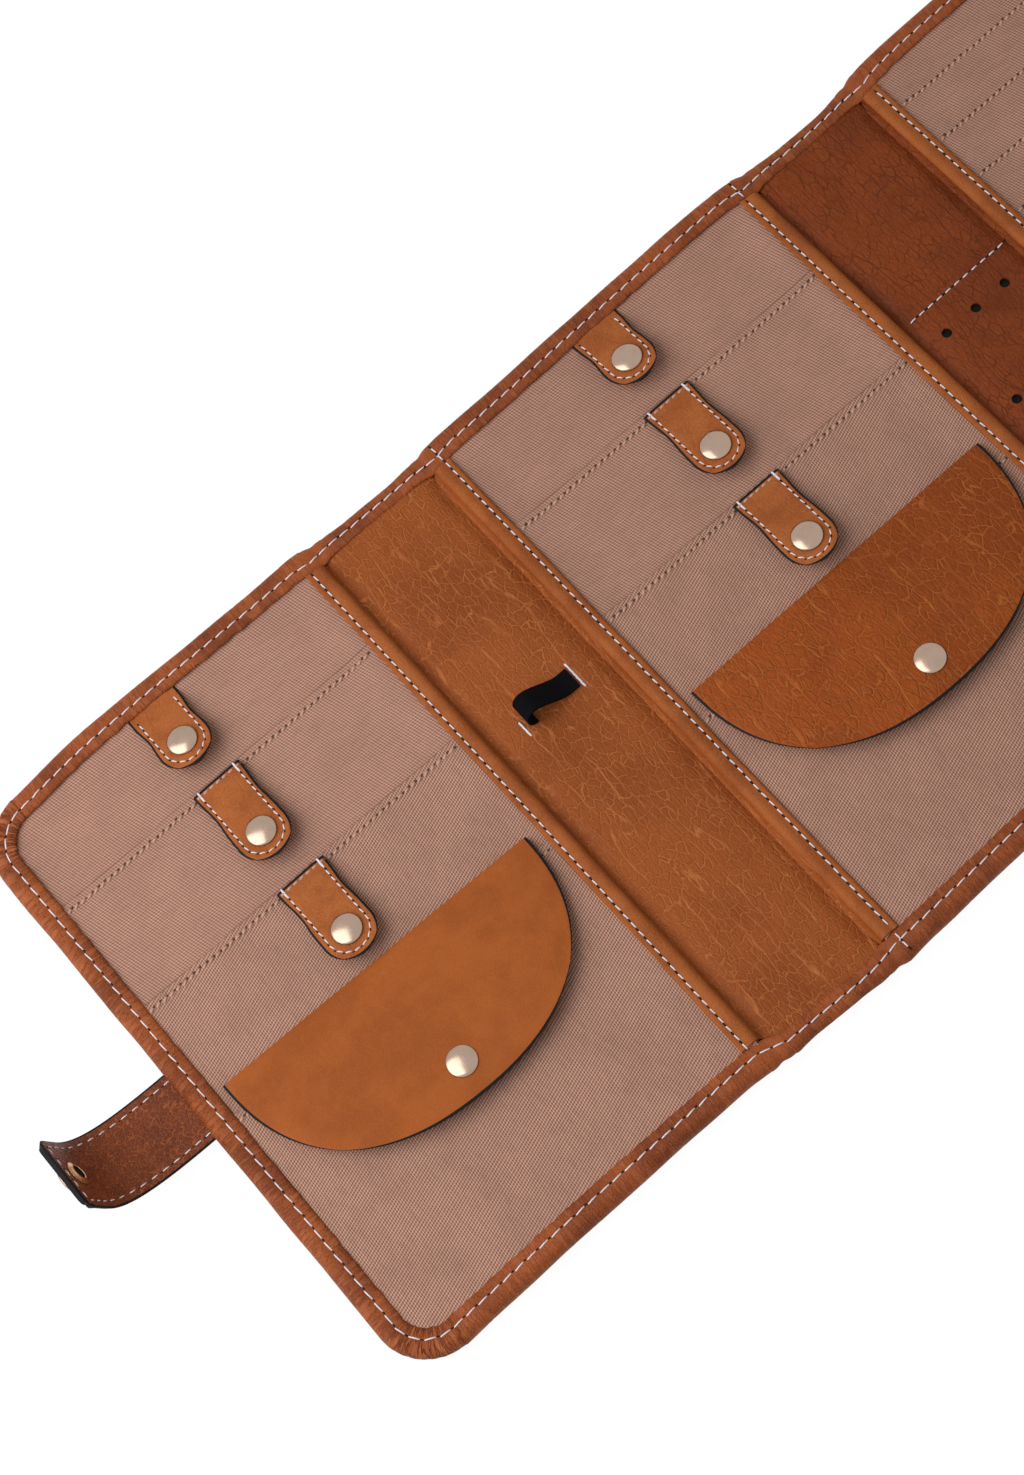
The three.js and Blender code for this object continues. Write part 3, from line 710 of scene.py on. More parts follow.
class Finish(Enum):
    """Every finish of the case, made when it is first asked for."""

    CANVAS = Canvas("canvas", (0.63, 0.345, 0.253), (0.235, 0.12, 0.086), DIAGONAL, WEFT, ALONG_X)
    CANVAS_CROSS = Canvas(
        "canvas_cross", (0.66, 0.366, 0.268), (0.18, 0.09, 0.064), CROSS_DIAGONAL, CROSS_WEFT, ALONG_Y
    )
    # A darker copy of the canvas for the strand of painted shade under a pocket mouth's fold.
    HEM = Canvas("canvas_fold", (0.40, 0.215, 0.155), (0.17, 0.085, 0.06), DIAGONAL, WEFT, ALONG_X)
    COVER = Leather(
        "cover_leather", (0.21, 0.052, 0.015), (0.13, 0.028, 0.008), (0.40, 0.13, 0.042), crease=4,
        crease_show=0.25,
    )
    SPINE = Leather(
        "spine_leather", (0.325, 0.08, 0.016), (0.225, 0.05, 0.0092), (0.49, 0.16, 0.047), cloud=38,
        crease=2.2, stretch=ALONG_SPINE, crease_show=0.7, crease_depth=0.14, crease_line=0.08,
        crease_floor=0.55, flank_shade=0.6, wrinkle=3.4, pebble=1.2, pebble_show=0.2, pebble_depth=0.08,
        nap=0.2, roughness=0.46,
    )
    SPINE_DARK = Leather(
        "spine_leather_dark", (0.225, 0.045, 0.0095), (0.125, 0.023, 0.005), (0.36, 0.11, 0.033),
        cloud=30, crease=2.4, stretch=ALONG_SPINE, crease_show=0.8, dark_creases=True, crease_depth=0.13,
        crease_line=0.075, crease_floor=0.35, wrinkle=4.2, pebble=1.5, pebble_show=0.15,
        pebble_depth=0.09, nap=0.2, roughness=0.46,
    )
    BINDING = Leather(
        "binding_leather", (0.335, 0.08, 0.021), (0.165, 0.034, 0.009), (0.50, 0.16, 0.054), cloud=18,
        crease=2.6, crease_show=0.1, crease_depth=0.06, dark_creases=True, folds=True, pebble=0.9,
        pebble_show=0.15, pebble_depth=0.06, nap=0.25, gloss=0.14,
    )
    PIPING = Leather(
        "piping_leather", (0.37, 0.102, 0.024), (0.25, 0.06, 0.0135), (0.50, 0.17, 0.05), cloud=16,
        crease=4, crease_show=0.15, pebble=0.8, pebble_depth=0.06,
    )
    TAB = Leather(
        "tab_nubuck", (0.40, 0.115, 0.029), (0.28, 0.07, 0.017), (0.53, 0.18, 0.056), cloud=10, crease=9,
        crease_show=0.08, pebble=0.7, pebble_depth=0.03, nap=0.4, roughness=0.68,
    )
    FLAP_SMOOTH = Leather(
        "flap_leather_smooth", (0.375, 0.096, 0.0185), (0.285, 0.067, 0.012), (0.50, 0.155, 0.037),
        cloud=22, crease=14, crease_show=0.05, crease_depth=0.03, pebble=0.8, pebble_depth=0.025,
        nap=0.25, roughness=0.55,
    )
    FLAP_PEBBLED = Leather(
        "flap_leather_pebbled", (0.315, 0.063, 0.0075), (0.205, 0.037, 0.0042), (0.47, 0.14, 0.026),
        cloud=34, crease=2.6, stretch=ALONG_SPINE, crease_show=0.55, crease_depth=0.17,
        crease_line=0.085, crease_floor=0.35, flank_shade=0.7, wrinkle=4.6, pebble=1.5, pebble_show=0.15,
        pebble_depth=0.10, roughness=0.45, gloss=0.12,
    )
    STRAP = Leather(
        "strap_leather", (0.205, 0.045, 0.013), (0.12, 0.024, 0.007), (0.36, 0.10, 0.033), cloud=14,
        crease=1.6, stretch=(0.6, 1.0, 1.0), crease_show=0.75, crease_depth=0.14, crease_line=0.14,
        pebble=1.0, pebble_show=0.35, pebble_depth=0.14, roughness=0.42, gloss=0.16,
    )
    EDGE = EdgePaint("edge_paint", (0.007, 0.006, 0.007), (0.03, 0.021, 0.018))
    HOLE = EdgePaint("hole_shadow", (0.006, 0.005, 0.005), (0.02, 0.012, 0.01))
    CANVAS_HOLE = EdgePaint("canvas_hole_shadow", (0.085, 0.043, 0.03), (0.15, 0.078, 0.055))
    THREAD_WHITE = Thread("thread_white", (0.83, 0.80, 0.86), (0.45, 0.40, 0.42))
    THREAD_BEIGE = Thread("thread_beige", (0.60, 0.355, 0.255), (0.27, 0.15, 0.105))
    ELASTIC = Webbing("elastic_black", (0.002, 0.002, 0.0025), (0.009, 0.009, 0.011))
    SNAP = SnapMetal("snap_champagne", (0.42, 0.30, 0.23), (0.33, 0.23, 0.175), 0.22)
    SOCKET = SnapMetal("snap_brass", (0.72, 0.47, 0.26), (0.40, 0.24, 0.12), 0.32)

    def material(self) -> bpy.types.Material:
        """The finish's material."""
        return bpy.data.materials.get(FINISH_PREFIX + self.value.name) or self.value.make()


def dress(piece: Piece, *finishes: Finish) -> None:
    """Gives a piece its finishes."""
    piece.data.materials.clear()
    for finish in finishes:
        piece.data.materials.append(finish.material())


def settle(piece: Piece, body: str, slot: str | None, *nodes: str) -> None:
    """Hands a finished piece over to the frame.

    Args:
        piece: The piece, in its place.
        body: The body that it rides on.
        slot: The record's material slot, or None for thread; not used.
        nodes: The solids that it stands for.
    """
    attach(piece, body)
    label(piece, slot, *nodes)
    LOG.info("%s rides on %s", piece.name, body)


def label(piece: Piece, slot: str | None, *nodes: str) -> None:
    """Hides the solids that a piece stands for."""
    if nodes:
        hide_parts(*nodes)


def complete(piece: Piece, finish: Finish, body: str, slot: str, *nodes: str) -> None:
    """Shades, dresses and settles a piece of one finish."""
    Bench.soften(piece)
    dress(piece, finish)
    settle(piece, body, slot, *nodes)


class Needle(Enum):
    """The stitches in use: length, thread, dip of the ends, pitch and length of holes, in millimetres."""

    BINDING = (3.5, 0.50, 0.24, 4.7, 1.0)
    PIPING = (2.3, 0.50, 0.22, 3.5, 1.7)
    TAB = (2.0, 0.46, 0.2, 2.9, 1.4)
    STRAP = (2.3, 0.44, 0.2, 3.5, 1.1)
    CANVAS = (2.0, 0.85, 0.32, 2.6, 1.7)
    TACK = (2.6, 0.75, 0.15, 0.0, 0.0)

    @property
    def pitch(self) -> float:
        """From stitch to stitch."""
        return self.value[3]

    def mesh(self) -> bpy.types.Mesh:
        """One arched stitch along X, modelled from a ball pulled out at both ends."""
        name = f"stitch_{self.name.lower()}"
        if name in bpy.data.meshes:
            return bpy.data.meshes[name]
        length, thread, dip, pitch, gap = self.value
        pull = (length - thread) / 2
        Bench.clear()
        bpy.ops.mesh.primitive_uv_sphere_add(
            segments=8, ring_count=6, radius=thread * MM / 2, rotation=(0, math.pi / 2, 0)
        )
        bpy.ops.object.transform_apply(location=False, rotation=True, scale=False)
        piece = Bench.put_down(name)
        dress(piece, Finish.THREAD_WHITE, Finish.HOLE)

        def stretched(x: float, y: float, z: float) -> Triple:
            """Pulls the ends apart and dips them."""
            out = x if abs(x) < thread / 100 else x + math.copysign(pull, x)
            return out, y, z - dip * (2 * out / length) ** 2

        reshape(piece, stretched)
        if gap:
            piece = Bench.join(name, [piece, self.hole(gap / 2, thread, pitch / 2)])
        Bench.soften(piece, 80)
        return Bench.keep_mesh(piece)

    @staticmethod
    def hole(reach: float, thread: float, away: float) -> Piece:
        """The needle hole beyond a stitch, sunk into the material and painted dark: painted shade in the
        hole.
        """
        Bench.clear()
        bpy.ops.mesh.primitive_uv_sphere_add(segments=8, ring_count=4, radius=MM)
        piece = Bench.put_down("needle_hole")
        reshape(piece, lambda x, y, z: (away + x * reach, y * thread * 0.62, z * 0.2 - thread * 0.3))
        dress(piece, Finish.THREAD_WHITE, Finish.HOLE)
        for face in piece.data.polygons:
            face.material_index = 1
        return piece


@dataclass
class Seam:
    """A row of stitches along a line, at its needle's pitch where none is given."""

    name: str
    needle: Needle
    pitch: float = 0.0
    stitches: list[Matrix] = field(default_factory=list)

    def run(
        self, points: Sequence[Vector], normal: Vector | Sequence[Vector] = UP, slant: float = 5.0
    ) -> "Seam":
        """Adds stitches along a line.

        Args:
            points: The line's points in metres.
            normal: Which way the stitches face, all along or at each point.
            slant: How far a stitch leans from the line, in degrees.

        Returns:
            The seam itself.
        """
        lengths = [(end - start).length for start, end in zip(points, points[1:])]
        total = sum(lengths)
        count = max(1, round(total / MM / (self.pitch or self.needle.pitch)))
        facing = [normal] * len(points) if isinstance(normal, Vector) else normal
        for number in range(count):
            distance = total * (number + 0.5) / count
            self.stitches.append(self.stitch_at(points, lengths, distance, facing, slant))
        return self

    @staticmethod
    def stitch_at(
        points: Sequence[Vector], lengths: Sequence[float], distance: float, facing: Sequence[Vector],
        slant: float,
    ) -> Matrix:
        """The place of the stitch at a distance along a line."""
        index = 0
        while index < len(lengths) - 1 and distance > lengths[index]:
            distance -= lengths[index]
            index += 1
        along = (points[index + 1] - points[index]).normalized()
        spot = points[index] + along * distance
        across = facing[index].cross(along).normalized()
        up = along.cross(across)
        turn = Matrix((along, across, up)).transposed().to_4x4()
        wobble = drift(spot.x / MM, spot.y / MM, 2.3, 4.7)
        lean = Matrix.Rotation(math.radians(slant * (1 + wobble)), 4, "Z")
        return Matrix.Translation(spot) @ turn @ lean

    def sew(self) -> Piece:
        """Makes the row one piece."""
        mesh = self.needle.mesh()
        places = enumerate(self.stitches)
        copies = [Bench.copy(f"{self.name}_{number}", mesh, place) for number, place in places]
        piece = Bench.join(self.name, copies)
        if self.needle is Needle.CANVAS:
            for number, finish in enumerate((Finish.THREAD_BEIGE, Finish.CANVAS_HOLE)):
                piece.data.materials[number] = finish.material()
        return piece

    def ride(self, body: str) -> None:
        """Makes the row one piece that rides on a body."""
        settle(self.sew(), body, None)


def line(*corners: Vector, step: float = 2.0) -> list[Vector]:
    """A line through corners, with points every few millimetres."""
    points = [corners[0]]
    for start, end in zip(corners, corners[1:]):
        count = max(1, round((end - start).length / MM / step))
        points += [start.lerp(end, number / count) for number in range(1, count + 1)]
    return points


def arc(centre: Spot, radius: float, start: float, end: float, z: float) -> list[Vector]:
    """Points on an arc between two angles in degrees, in millimetres."""
    count = max(4, round(abs(math.radians(end - start)) * radius / 1.5))
    angles = [math.radians(start + (end - start) * number / count) for number in range(count + 1)]
    return [at(centre[0] + radius * math.cos(a), centre[1] + radius * math.sin(a), z) for a in angles]


def fold_section(low: float, high: float, width: float, stitch: float) -> list[Spot]:
    """The section of a leather strip folded over an edge.

    Args:
        low: Height of its outside face.
        high: Height of its inside face.
        width: From the fold to the strip's inner edges.
        stitch: From the fold to the stitches.

    Returns:
        Pairs of distance from the fold and height, in millimetres, in order round the section.
    """
    thick, middle, half = 0.95, (low + high) / 2, (high - low) / 2
    reach, groove, lap = 2.9, 0.28, 0.75
    fold = [math.radians(15 * step - 90) for step in range(13)]
    outside = [(reach * (1 - math.cos(a)), middle + half * math.sin(a)) for a in fold]
    above = [
        (stitch - lap, high - 0.03), (stitch - lap / 3, high - groove),
        (stitch + lap / 3, high - groove), (stitch + lap, high - 0.08), (width - 0.8, high - 0.45),
        (width - 0.15, high - 0.75), (width, high - 1.05), (width - 0.1, high - thick - 0.35),
    ]
    hollow, rise = reach - thick, half - thick
    inside = [(thick + hollow * (1 - math.cos(a)), middle + rise * math.sin(a)) for a in fold[::-2]]
    below = [
        (width - 0.1, low + thick), (width, low + 0.6), (width - 0.15, low + 0.3),
        (width - 0.8, low + 0.06), (stitch + lap, low + 0.04), (stitch + lap / 3, low + groove),
        (stitch - lap / 3, low + groove), (stitch - lap, low),
    ]
    return [*outside, *above, *inside, *below]


PANEL_SECTION = fold_section(0.0, SIZES.panel_top, SIZES.binding_width, SIZES.binding_stitch)
SPINE_SECTION = fold_section(
    SIZES.spine_low, SIZES.spine_high, SIZES.spine_half - SIZES.lip_line,
    SIZES.binding_stitch - SIZES.half + SIZES.spine_half,
)


@dataclass(frozen=True)
class Edge:
    """A bound edge: its outer line and the heights of its two faces, in millimetres."""

    outer: float
    low: float
    high: float

    EASE = 14.0

    def eased(self, x: float, y: float, z: float) -> Triple:
        """Draws the edge of a panel and of a spine together where they meet at a crease."""
        away = min(abs(abs(x) - SIZES.inner_crease), abs(abs(x) - SIZES.outer_crease))
        near = ramp(self.EASE, 0.0, away)
        stitch = SIZES.stitch_line
        meet_y = (SIZES.half + SIZES.spine_half) / 2
        meet_low, meet_high = SIZES.spine_low / 2, (SIZES.panel_top + SIZES.spine_high) / 2
        share = (z - self.low) / (self.high - self.low)
        z += near * (meet_low + share * (meet_high - meet_low) - z)
        if abs(y) > stitch:
            beyond = (abs(y) - stitch) / (self.outer - stitch)
            y += math.copysign(near * (stitch + beyond * (meet_y - stitch) - abs(y)), y)
        return x, y + stray(x, y), z


PANEL_EDGE = Edge(SIZES.half, 0.0, SIZES.panel_top)
SPINE_EDGE = Edge(SIZES.spine_half, SIZES.spine_low, SIZES.spine_high)


class Binding:
    """Folded leather strips along the edges of the case, with their stitches on both faces."""

    STEP = 0.6
    END_GATHER = 0.34
    SIDE_GATHER = 0.42
    CORNER_STEPS = 40

    @classmethod
    def along(
        cls, x: float, y: float, edge: Edge, edge_x: float | None
    ) -> tuple[float, float, Spot, float]:
        """Where a place lies on the strip.

        Args:
            x: Place along X in millimetres.
            y: Place along Y in millimetres.
            edge: The strip's edge.
            edge_x: The panel's outer edge, where the strip turns its corners.

        Returns:
            The distance along the strip, the depth from its outer edge, the way outwards and its gathers.
        """
        up = math.copysign(1, y)
        if edge_x is None:
            return x, edge.outer - abs(y), (0.0, up), cls.END_GATHER
        side = math.copysign(1, edge_x)
        from_x = (x - edge_x) * side + SIZES.corner
        from_y = abs(y) - (SIZES.half - SIZES.corner)
        turn = SIZES.corner * math.pi / 2
        if from_x <= 0:
            return up * (SIZES.half + turn - from_x), edge.outer - abs(y), (0.0, up), cls.END_GATHER
        if from_y <= 0:
            return y, (edge_x - x) * side, (side, 0.0), cls.SIDE_GATHER
        angle = math.atan2(from_y, from_x)
        travel = SIZES.half - SIZES.corner + angle * SIZES.corner
        away = math.hypot(from_x, from_y)
        gather = cls.SIDE_GATHER + 0.7 * math.sin(2 * angle)
        return up * travel, SIZES.corner - away, (side * math.cos(angle), up * math.sin(angle)), gather

    def wrinkle(self, piece: Piece, edge: Edge, edge_x: float | None = None) -> None:
        """Gives a strip its crosswise wrinkles, deepest round the corners.

        Args:
            piece: The swept strip.
            edge: The strip's edge.
            edge_x: The panel's outer edge in millimetres, where it has corners.
        """
        gathers: list[float] = []
        strip: list[float] = []
        middle, half = (edge.low + edge.high) / 2, (edge.high - edge.low) / 2

        def pulled(x: float, y: float, z: float) -> Triple:
            """Lifts, dents and sways the strip."""
            travel, depth, out, gather = self.along(x, y, edge, edge_x)
            face = (z - middle) / half
            sewn = 1 - 0.75 * bump(SIZES.binding_stitch - SIZES.half + edge.outer, 0.8, depth)
            gathers.append(gather * sewn)
            strip.extend((travel * MM, depth * MM, face * MM))
            fold = 2.1 * drift(travel, depth * 0.13, 1.7, 1.3 + face) * gather * sewn
            lift = 0.3 * fold * face * abs(face)
            sway = 0.32 * drift(travel, 0, 19.0, 5.5) * ramp(5.0, 2.0, depth)
            sway += 0.06 * fold * ramp(3.0, 0.5, depth)
            lip = ramp(-1.8, 0.0, depth - edge.outer + SIZES.lip_line)
            sway -= 0.4 * drift(travel, 0, 3.6, 2.2 + face) * lip
            x, y, z = edge.eased(x + out[0] * sway, y + out[1] * sway, z + lift)
            return x, y, max(z, 0.0)

        reshape(piece, pulled)
        # The fold attribute weights the painted shade and highlight of the wrinkles in the binding's finish.
        shade = piece.data.attributes.new(FOLD_SHADE_ATTRIBUTE, "FLOAT", "POINT")
        shade.data.foreach_set("value", gathers)
        places = piece.data.attributes.new(STRIP_ATTRIBUTE, "FLOAT_VECTOR", "POINT")
        places.data.foreach_set("vector", strip)

    def bind_sides(self, body: str, side: Side, edge_x: float, near_x: float) -> None:
        """Sweeps and sews a strip round the three free edges of an outer panel."""
        out, turn_y = side.value, SIZES.half - SIZES.corner
        bend = edge_x - out * SIZES.corner
        Bench.draw([at(near_x, SIZES.half - depth, z) for depth, z in PANEL_SECTION])
        Bench.push(at(bend - near_x, 0))
        Bench.spin(at(bend, turn_y), -90 * out, self.CORNER_STEPS)
        Bench.push(at(0, -2 * turn_y))
        Bench.spin(at(bend, -turn_y), -90 * out, self.CORNER_STEPS)
        Bench.push(at(near_x - bend, 0))
        piece = Bench.close(f"{body}_binding_leather")
        Bench.slice(piece, 0, self.STEP)
        Bench.slice(piece, 1, self.STEP)
        self.wrinkle(piece, PANEL_EDGE, edge_x)
        complete(piece, Finish.BINDING, body, "edge_leather", f"{body}_binding")
        self.seam(f"{body}_binding", body, edge_path(side, edge_x, near_x), PANEL_EDGE)

    def bind_end(self, node: str, body: str, edge: Edge, end: int, span: Spot) -> None:
        """Sweeps and sews a strip along one end of a panel or spine."""
        section = PANEL_SECTION if edge is PANEL_EDGE else SPINE_SECTION
        profile = [at(span[0], end * (edge.outer - depth), z) for depth, z in section]
        piece = Bench.sweep(f"{node}_leather", profile, at(span[1] - span[0], 0), self.STEP)
        self.wrinkle(piece, edge)
        complete(piece, Finish.BINDING, body, "edge_leather", node)
        stitch_y = end * SIZES.stitch_line
        self.seam(node, body, line(at(span[0], stitch_y), at(span[1], stitch_y)), edge)

    @staticmethod
    def seam_height(face: Face, edge: Edge) -> float:
        """Height of the stitches on one face."""
        return edge.high - 0.12 if face is Face.INSIDE else edge.low + 0.3

    def seam(self, name: str, body: str, path: Sequence[Vector], edge: Edge) -> None:
        """Sews along a path on both faces."""
        for face in Face:
            height = self.seam_height(face, edge)
            lifted = [at(*edge.eased(p.x / MM, p.y / MM, height)) for p in path]
            seam = Seam(f"{name}_stitches_{face.name.lower()}", Needle.BINDING)
            seam.run(lifted, UP * face.value).ride(body)


class Piping:
    """The rolled leather edge of a panel beside a crease."""

    STITCH = 5.4
    STITCH_Z = 7.05
    PROFILE: tuple[Spot, ...] = (
        (0.6, 1.75), (0.55, 3.6), (0.62, 5.0), (0.9, 6.1), (1.5, 6.95), (2.4, 7.4), (3.4, 7.42),
        (4.4, 7.2), (5.05, 6.92), (5.6, 6.88), (6.1, 7.05), (6.8, 7.02), (7.25, 6.8), (7.4, 6.5),
        (7.3, 6.22), (4.5, 6.2), (2.4, 6.1), (1.75, 5.4), (1.7, 3.6), (1.7, 1.75),
    )

    def make(self, name: str, body: str, crease: float, inward: int) -> None:
        """Rolls and sews one edge.

        Args:
            name: The solid that it stands for.
            body: The body that it rides on.
            crease: Place of the crease along X.
            inward: The way from the crease into the panel.
        """
        reach = SIZES.cover_edge
        section = [at(crease + inward * away, -reach, z) for away, z in self.PROFILE]
        piece = Bench.sweep(f"{name}_leather", section, at(0, 2 * reach), 1.8)

        def swell(x: float, y: float) -> float:
            """How the roll swells along its length."""
            return 0.22 * drift(x * 0.2, y, 16.0, crease)

        def rolled(x: float, y: float, z: float) -> Triple:
            """Makes the roll uneven along its length."""
            top = ramp(4.5, 7.0, z)
            lift = swell(x, y) + 0.1 * drift(x * 0.3, y, 3.0, crease + 5)
            return x + inward * 0.25 * top * drift(0, y, 24.0, crease + 9), y + stray(x, y), z + top * lift

        reshape(piece, rolled)
        complete(piece, Finish.PIPING, body, "edge_leather", name)
        x = crease + inward * self.STITCH
        path = [(p.x / MM, p.y / MM) for p in line(at(x, -reach + 1), at(x, reach - 1))]
        seam = Seam(f"{name}_stitches", Needle.PIPING)
        seam.run([at(*spot, self.STITCH_Z + swell(*spot)) for spot in path]).ride(body)


@dataclass
class SnapFastener:
    """A domed cap with its socket, and the stud that it snaps on."""

    leather: float
    depth: float = 1.0

    SOCKET_RADIUS = 2.32

    def cap(self, name: str, place: Matrix, body: str, node: str) -> None:
        """Sets a cap on leather whose face is at height 0 of its place."""
        key = f"snap_cap_{round(self.leather * 10)}"
        mesh = bpy.data.meshes.get(key) or self.turn_cap(key)
        piece = Bench.copy(name, mesh, place)
        settle(piece, body, "snap_metal", node)

    def turn_cap(self, key: str) -> bpy.types.Mesh:
        """Turns the cap, its shank and its socket."""
        seat = -self.leather - 0.15
        profile = [
            (0, seat - 0.45 * self.depth), (1.6, seat - 0.45 * self.depth),
            (2.25, seat - 0.55 * self.depth), (2.35, seat - 1.3 * self.depth),
            (2.6, seat - 1.55 * self.depth), (2.95, seat - 1.5 * self.depth),
            (3.2, seat - 1.1 * self.depth), (3.7, seat - 0.8 * self.depth),
            (4.1, seat - 0.5 * self.depth), (4.1, seat), (1.7, seat), (1.7, 0.15), (4.6, 0.12),
            (4.95, 0.2), (5.05, 0.45), (4.98, 0.72), (4.7, 0.98), (4.2, 1.24), (3.4, 1.5), (2.4, 1.71),
            (1.2, 1.83), (0, 1.87),
        ]
        piece = Bench.lathe(key, profile)
        Bench.soften(piece)
        dress(piece, Finish.SNAP, Finish.SOCKET, Finish.HOLE)
        for face in piece.data.polygons:
            middle = face.center.xy.length < self.SOCKET_RADIUS * MM
            inside = middle and face.center.z < (seat - 0.3 * self.depth) * MM
            # The socket's bore takes the hole finish: painted shade inside the bore.
            face.material_index = 2 if inside else int(face.center.z < -self.leather * MM / 2)
        return Bench.keep_mesh(piece)

    def stud(self, name: str, place: Matrix, body: str, node: str) -> None:
        """Sets a stud on a face at height 0 of its place."""
        mesh = bpy.data.meshes.get("snap_stud") or self.turn_stud()
        piece = Bench.copy(name, mesh, place)
        settle(piece, body, "snap_metal", node)

    @staticmethod
    def turn_stud() -> bpy.types.Mesh:
        """Turns the stud's flange, neck and head."""
        profile = [
            (0, 0.1), (3.3, 0.1), (3.6, 0.25), (3.55, 0.42), (3.2, 0.52), (1.9, 0.58), (1.65, 0.85),
            (1.8, 1.2), (2.0, 1.5), (1.85, 1.8), (1.4, 1.97), (0.6, 2.0), (0, 1.9),
        ]
        piece = Bench.lathe("snap_stud", profile, 32)
        Bench.soften(piece, 50)
        dress(piece, Finish.SOCKET)
        return Bench.keep_mesh(piece)


@dataclass
class Fastened:
    """Leather that is sewn down along one edge and snapped at the other."""

    panel: str
    row: str
    label: str
    centre_x: float
    sewn_y: float
    seat: float
    seat_gap: float
    under: float
    length: float
    snap: float
    thickness: float

    STACK = 3.1

    @property
    def tilt(self) -> float:
        """How steeply the leather rises to its snap, in radians."""
        return math.asin((self.under + self.STACK - self.seat - self.seat_gap) / self.snap)

    @property
    def place(self) -> Matrix:
        """The sewn edge's place, with the free end towards -Y."""
        spot = at(self.centre_x, self.sewn_y, self.seat + self.seat_gap + self.thickness)
        return Matrix.Translation(spot) @ Matrix.Rotation(-self.tilt, 4, "X")

    @property
    def body(self) -> str:
        """The body that the leather rides on."""
        return f"{self.panel}_{self.row}"

    def fasten(self) -> None:
        """Sets the snap through the leather and its stud below."""
        fastener = SnapFastener(self.thickness)
        node = f"{self.panel}_snap_{self.label}"
        fastener.cap(f"{node}_cap", self.place @ Matrix.Translation(at(0, -self.snap)), self.body, node)
        reach = self.snap * math.cos(self.tilt) + self.thickness * math.sin(self.tilt)
        spot = Matrix.Translation(at(self.centre_x, self.sewn_y - reach, self.under))
        stud = f"{self.panel}_stud_{self.label}"
        fastener.stud(f"{stud}_post", spot, self.panel, stud)

    def finish(self, piece: Piece, skin: Finish, slot: str, rim: set[int]) -> None:
        """Paints, thickens, dresses and settles the leather."""
        dress(piece, skin, Finish.EDGE)
        Bench.paint(piece, rim)
        Bench.thicken(piece, self.thickness, 0.2)
        Bench.soften(piece)
        piece.data.transform(self.place)
        settle(piece, self.body, slot, f"{self.panel}_{self.label}")


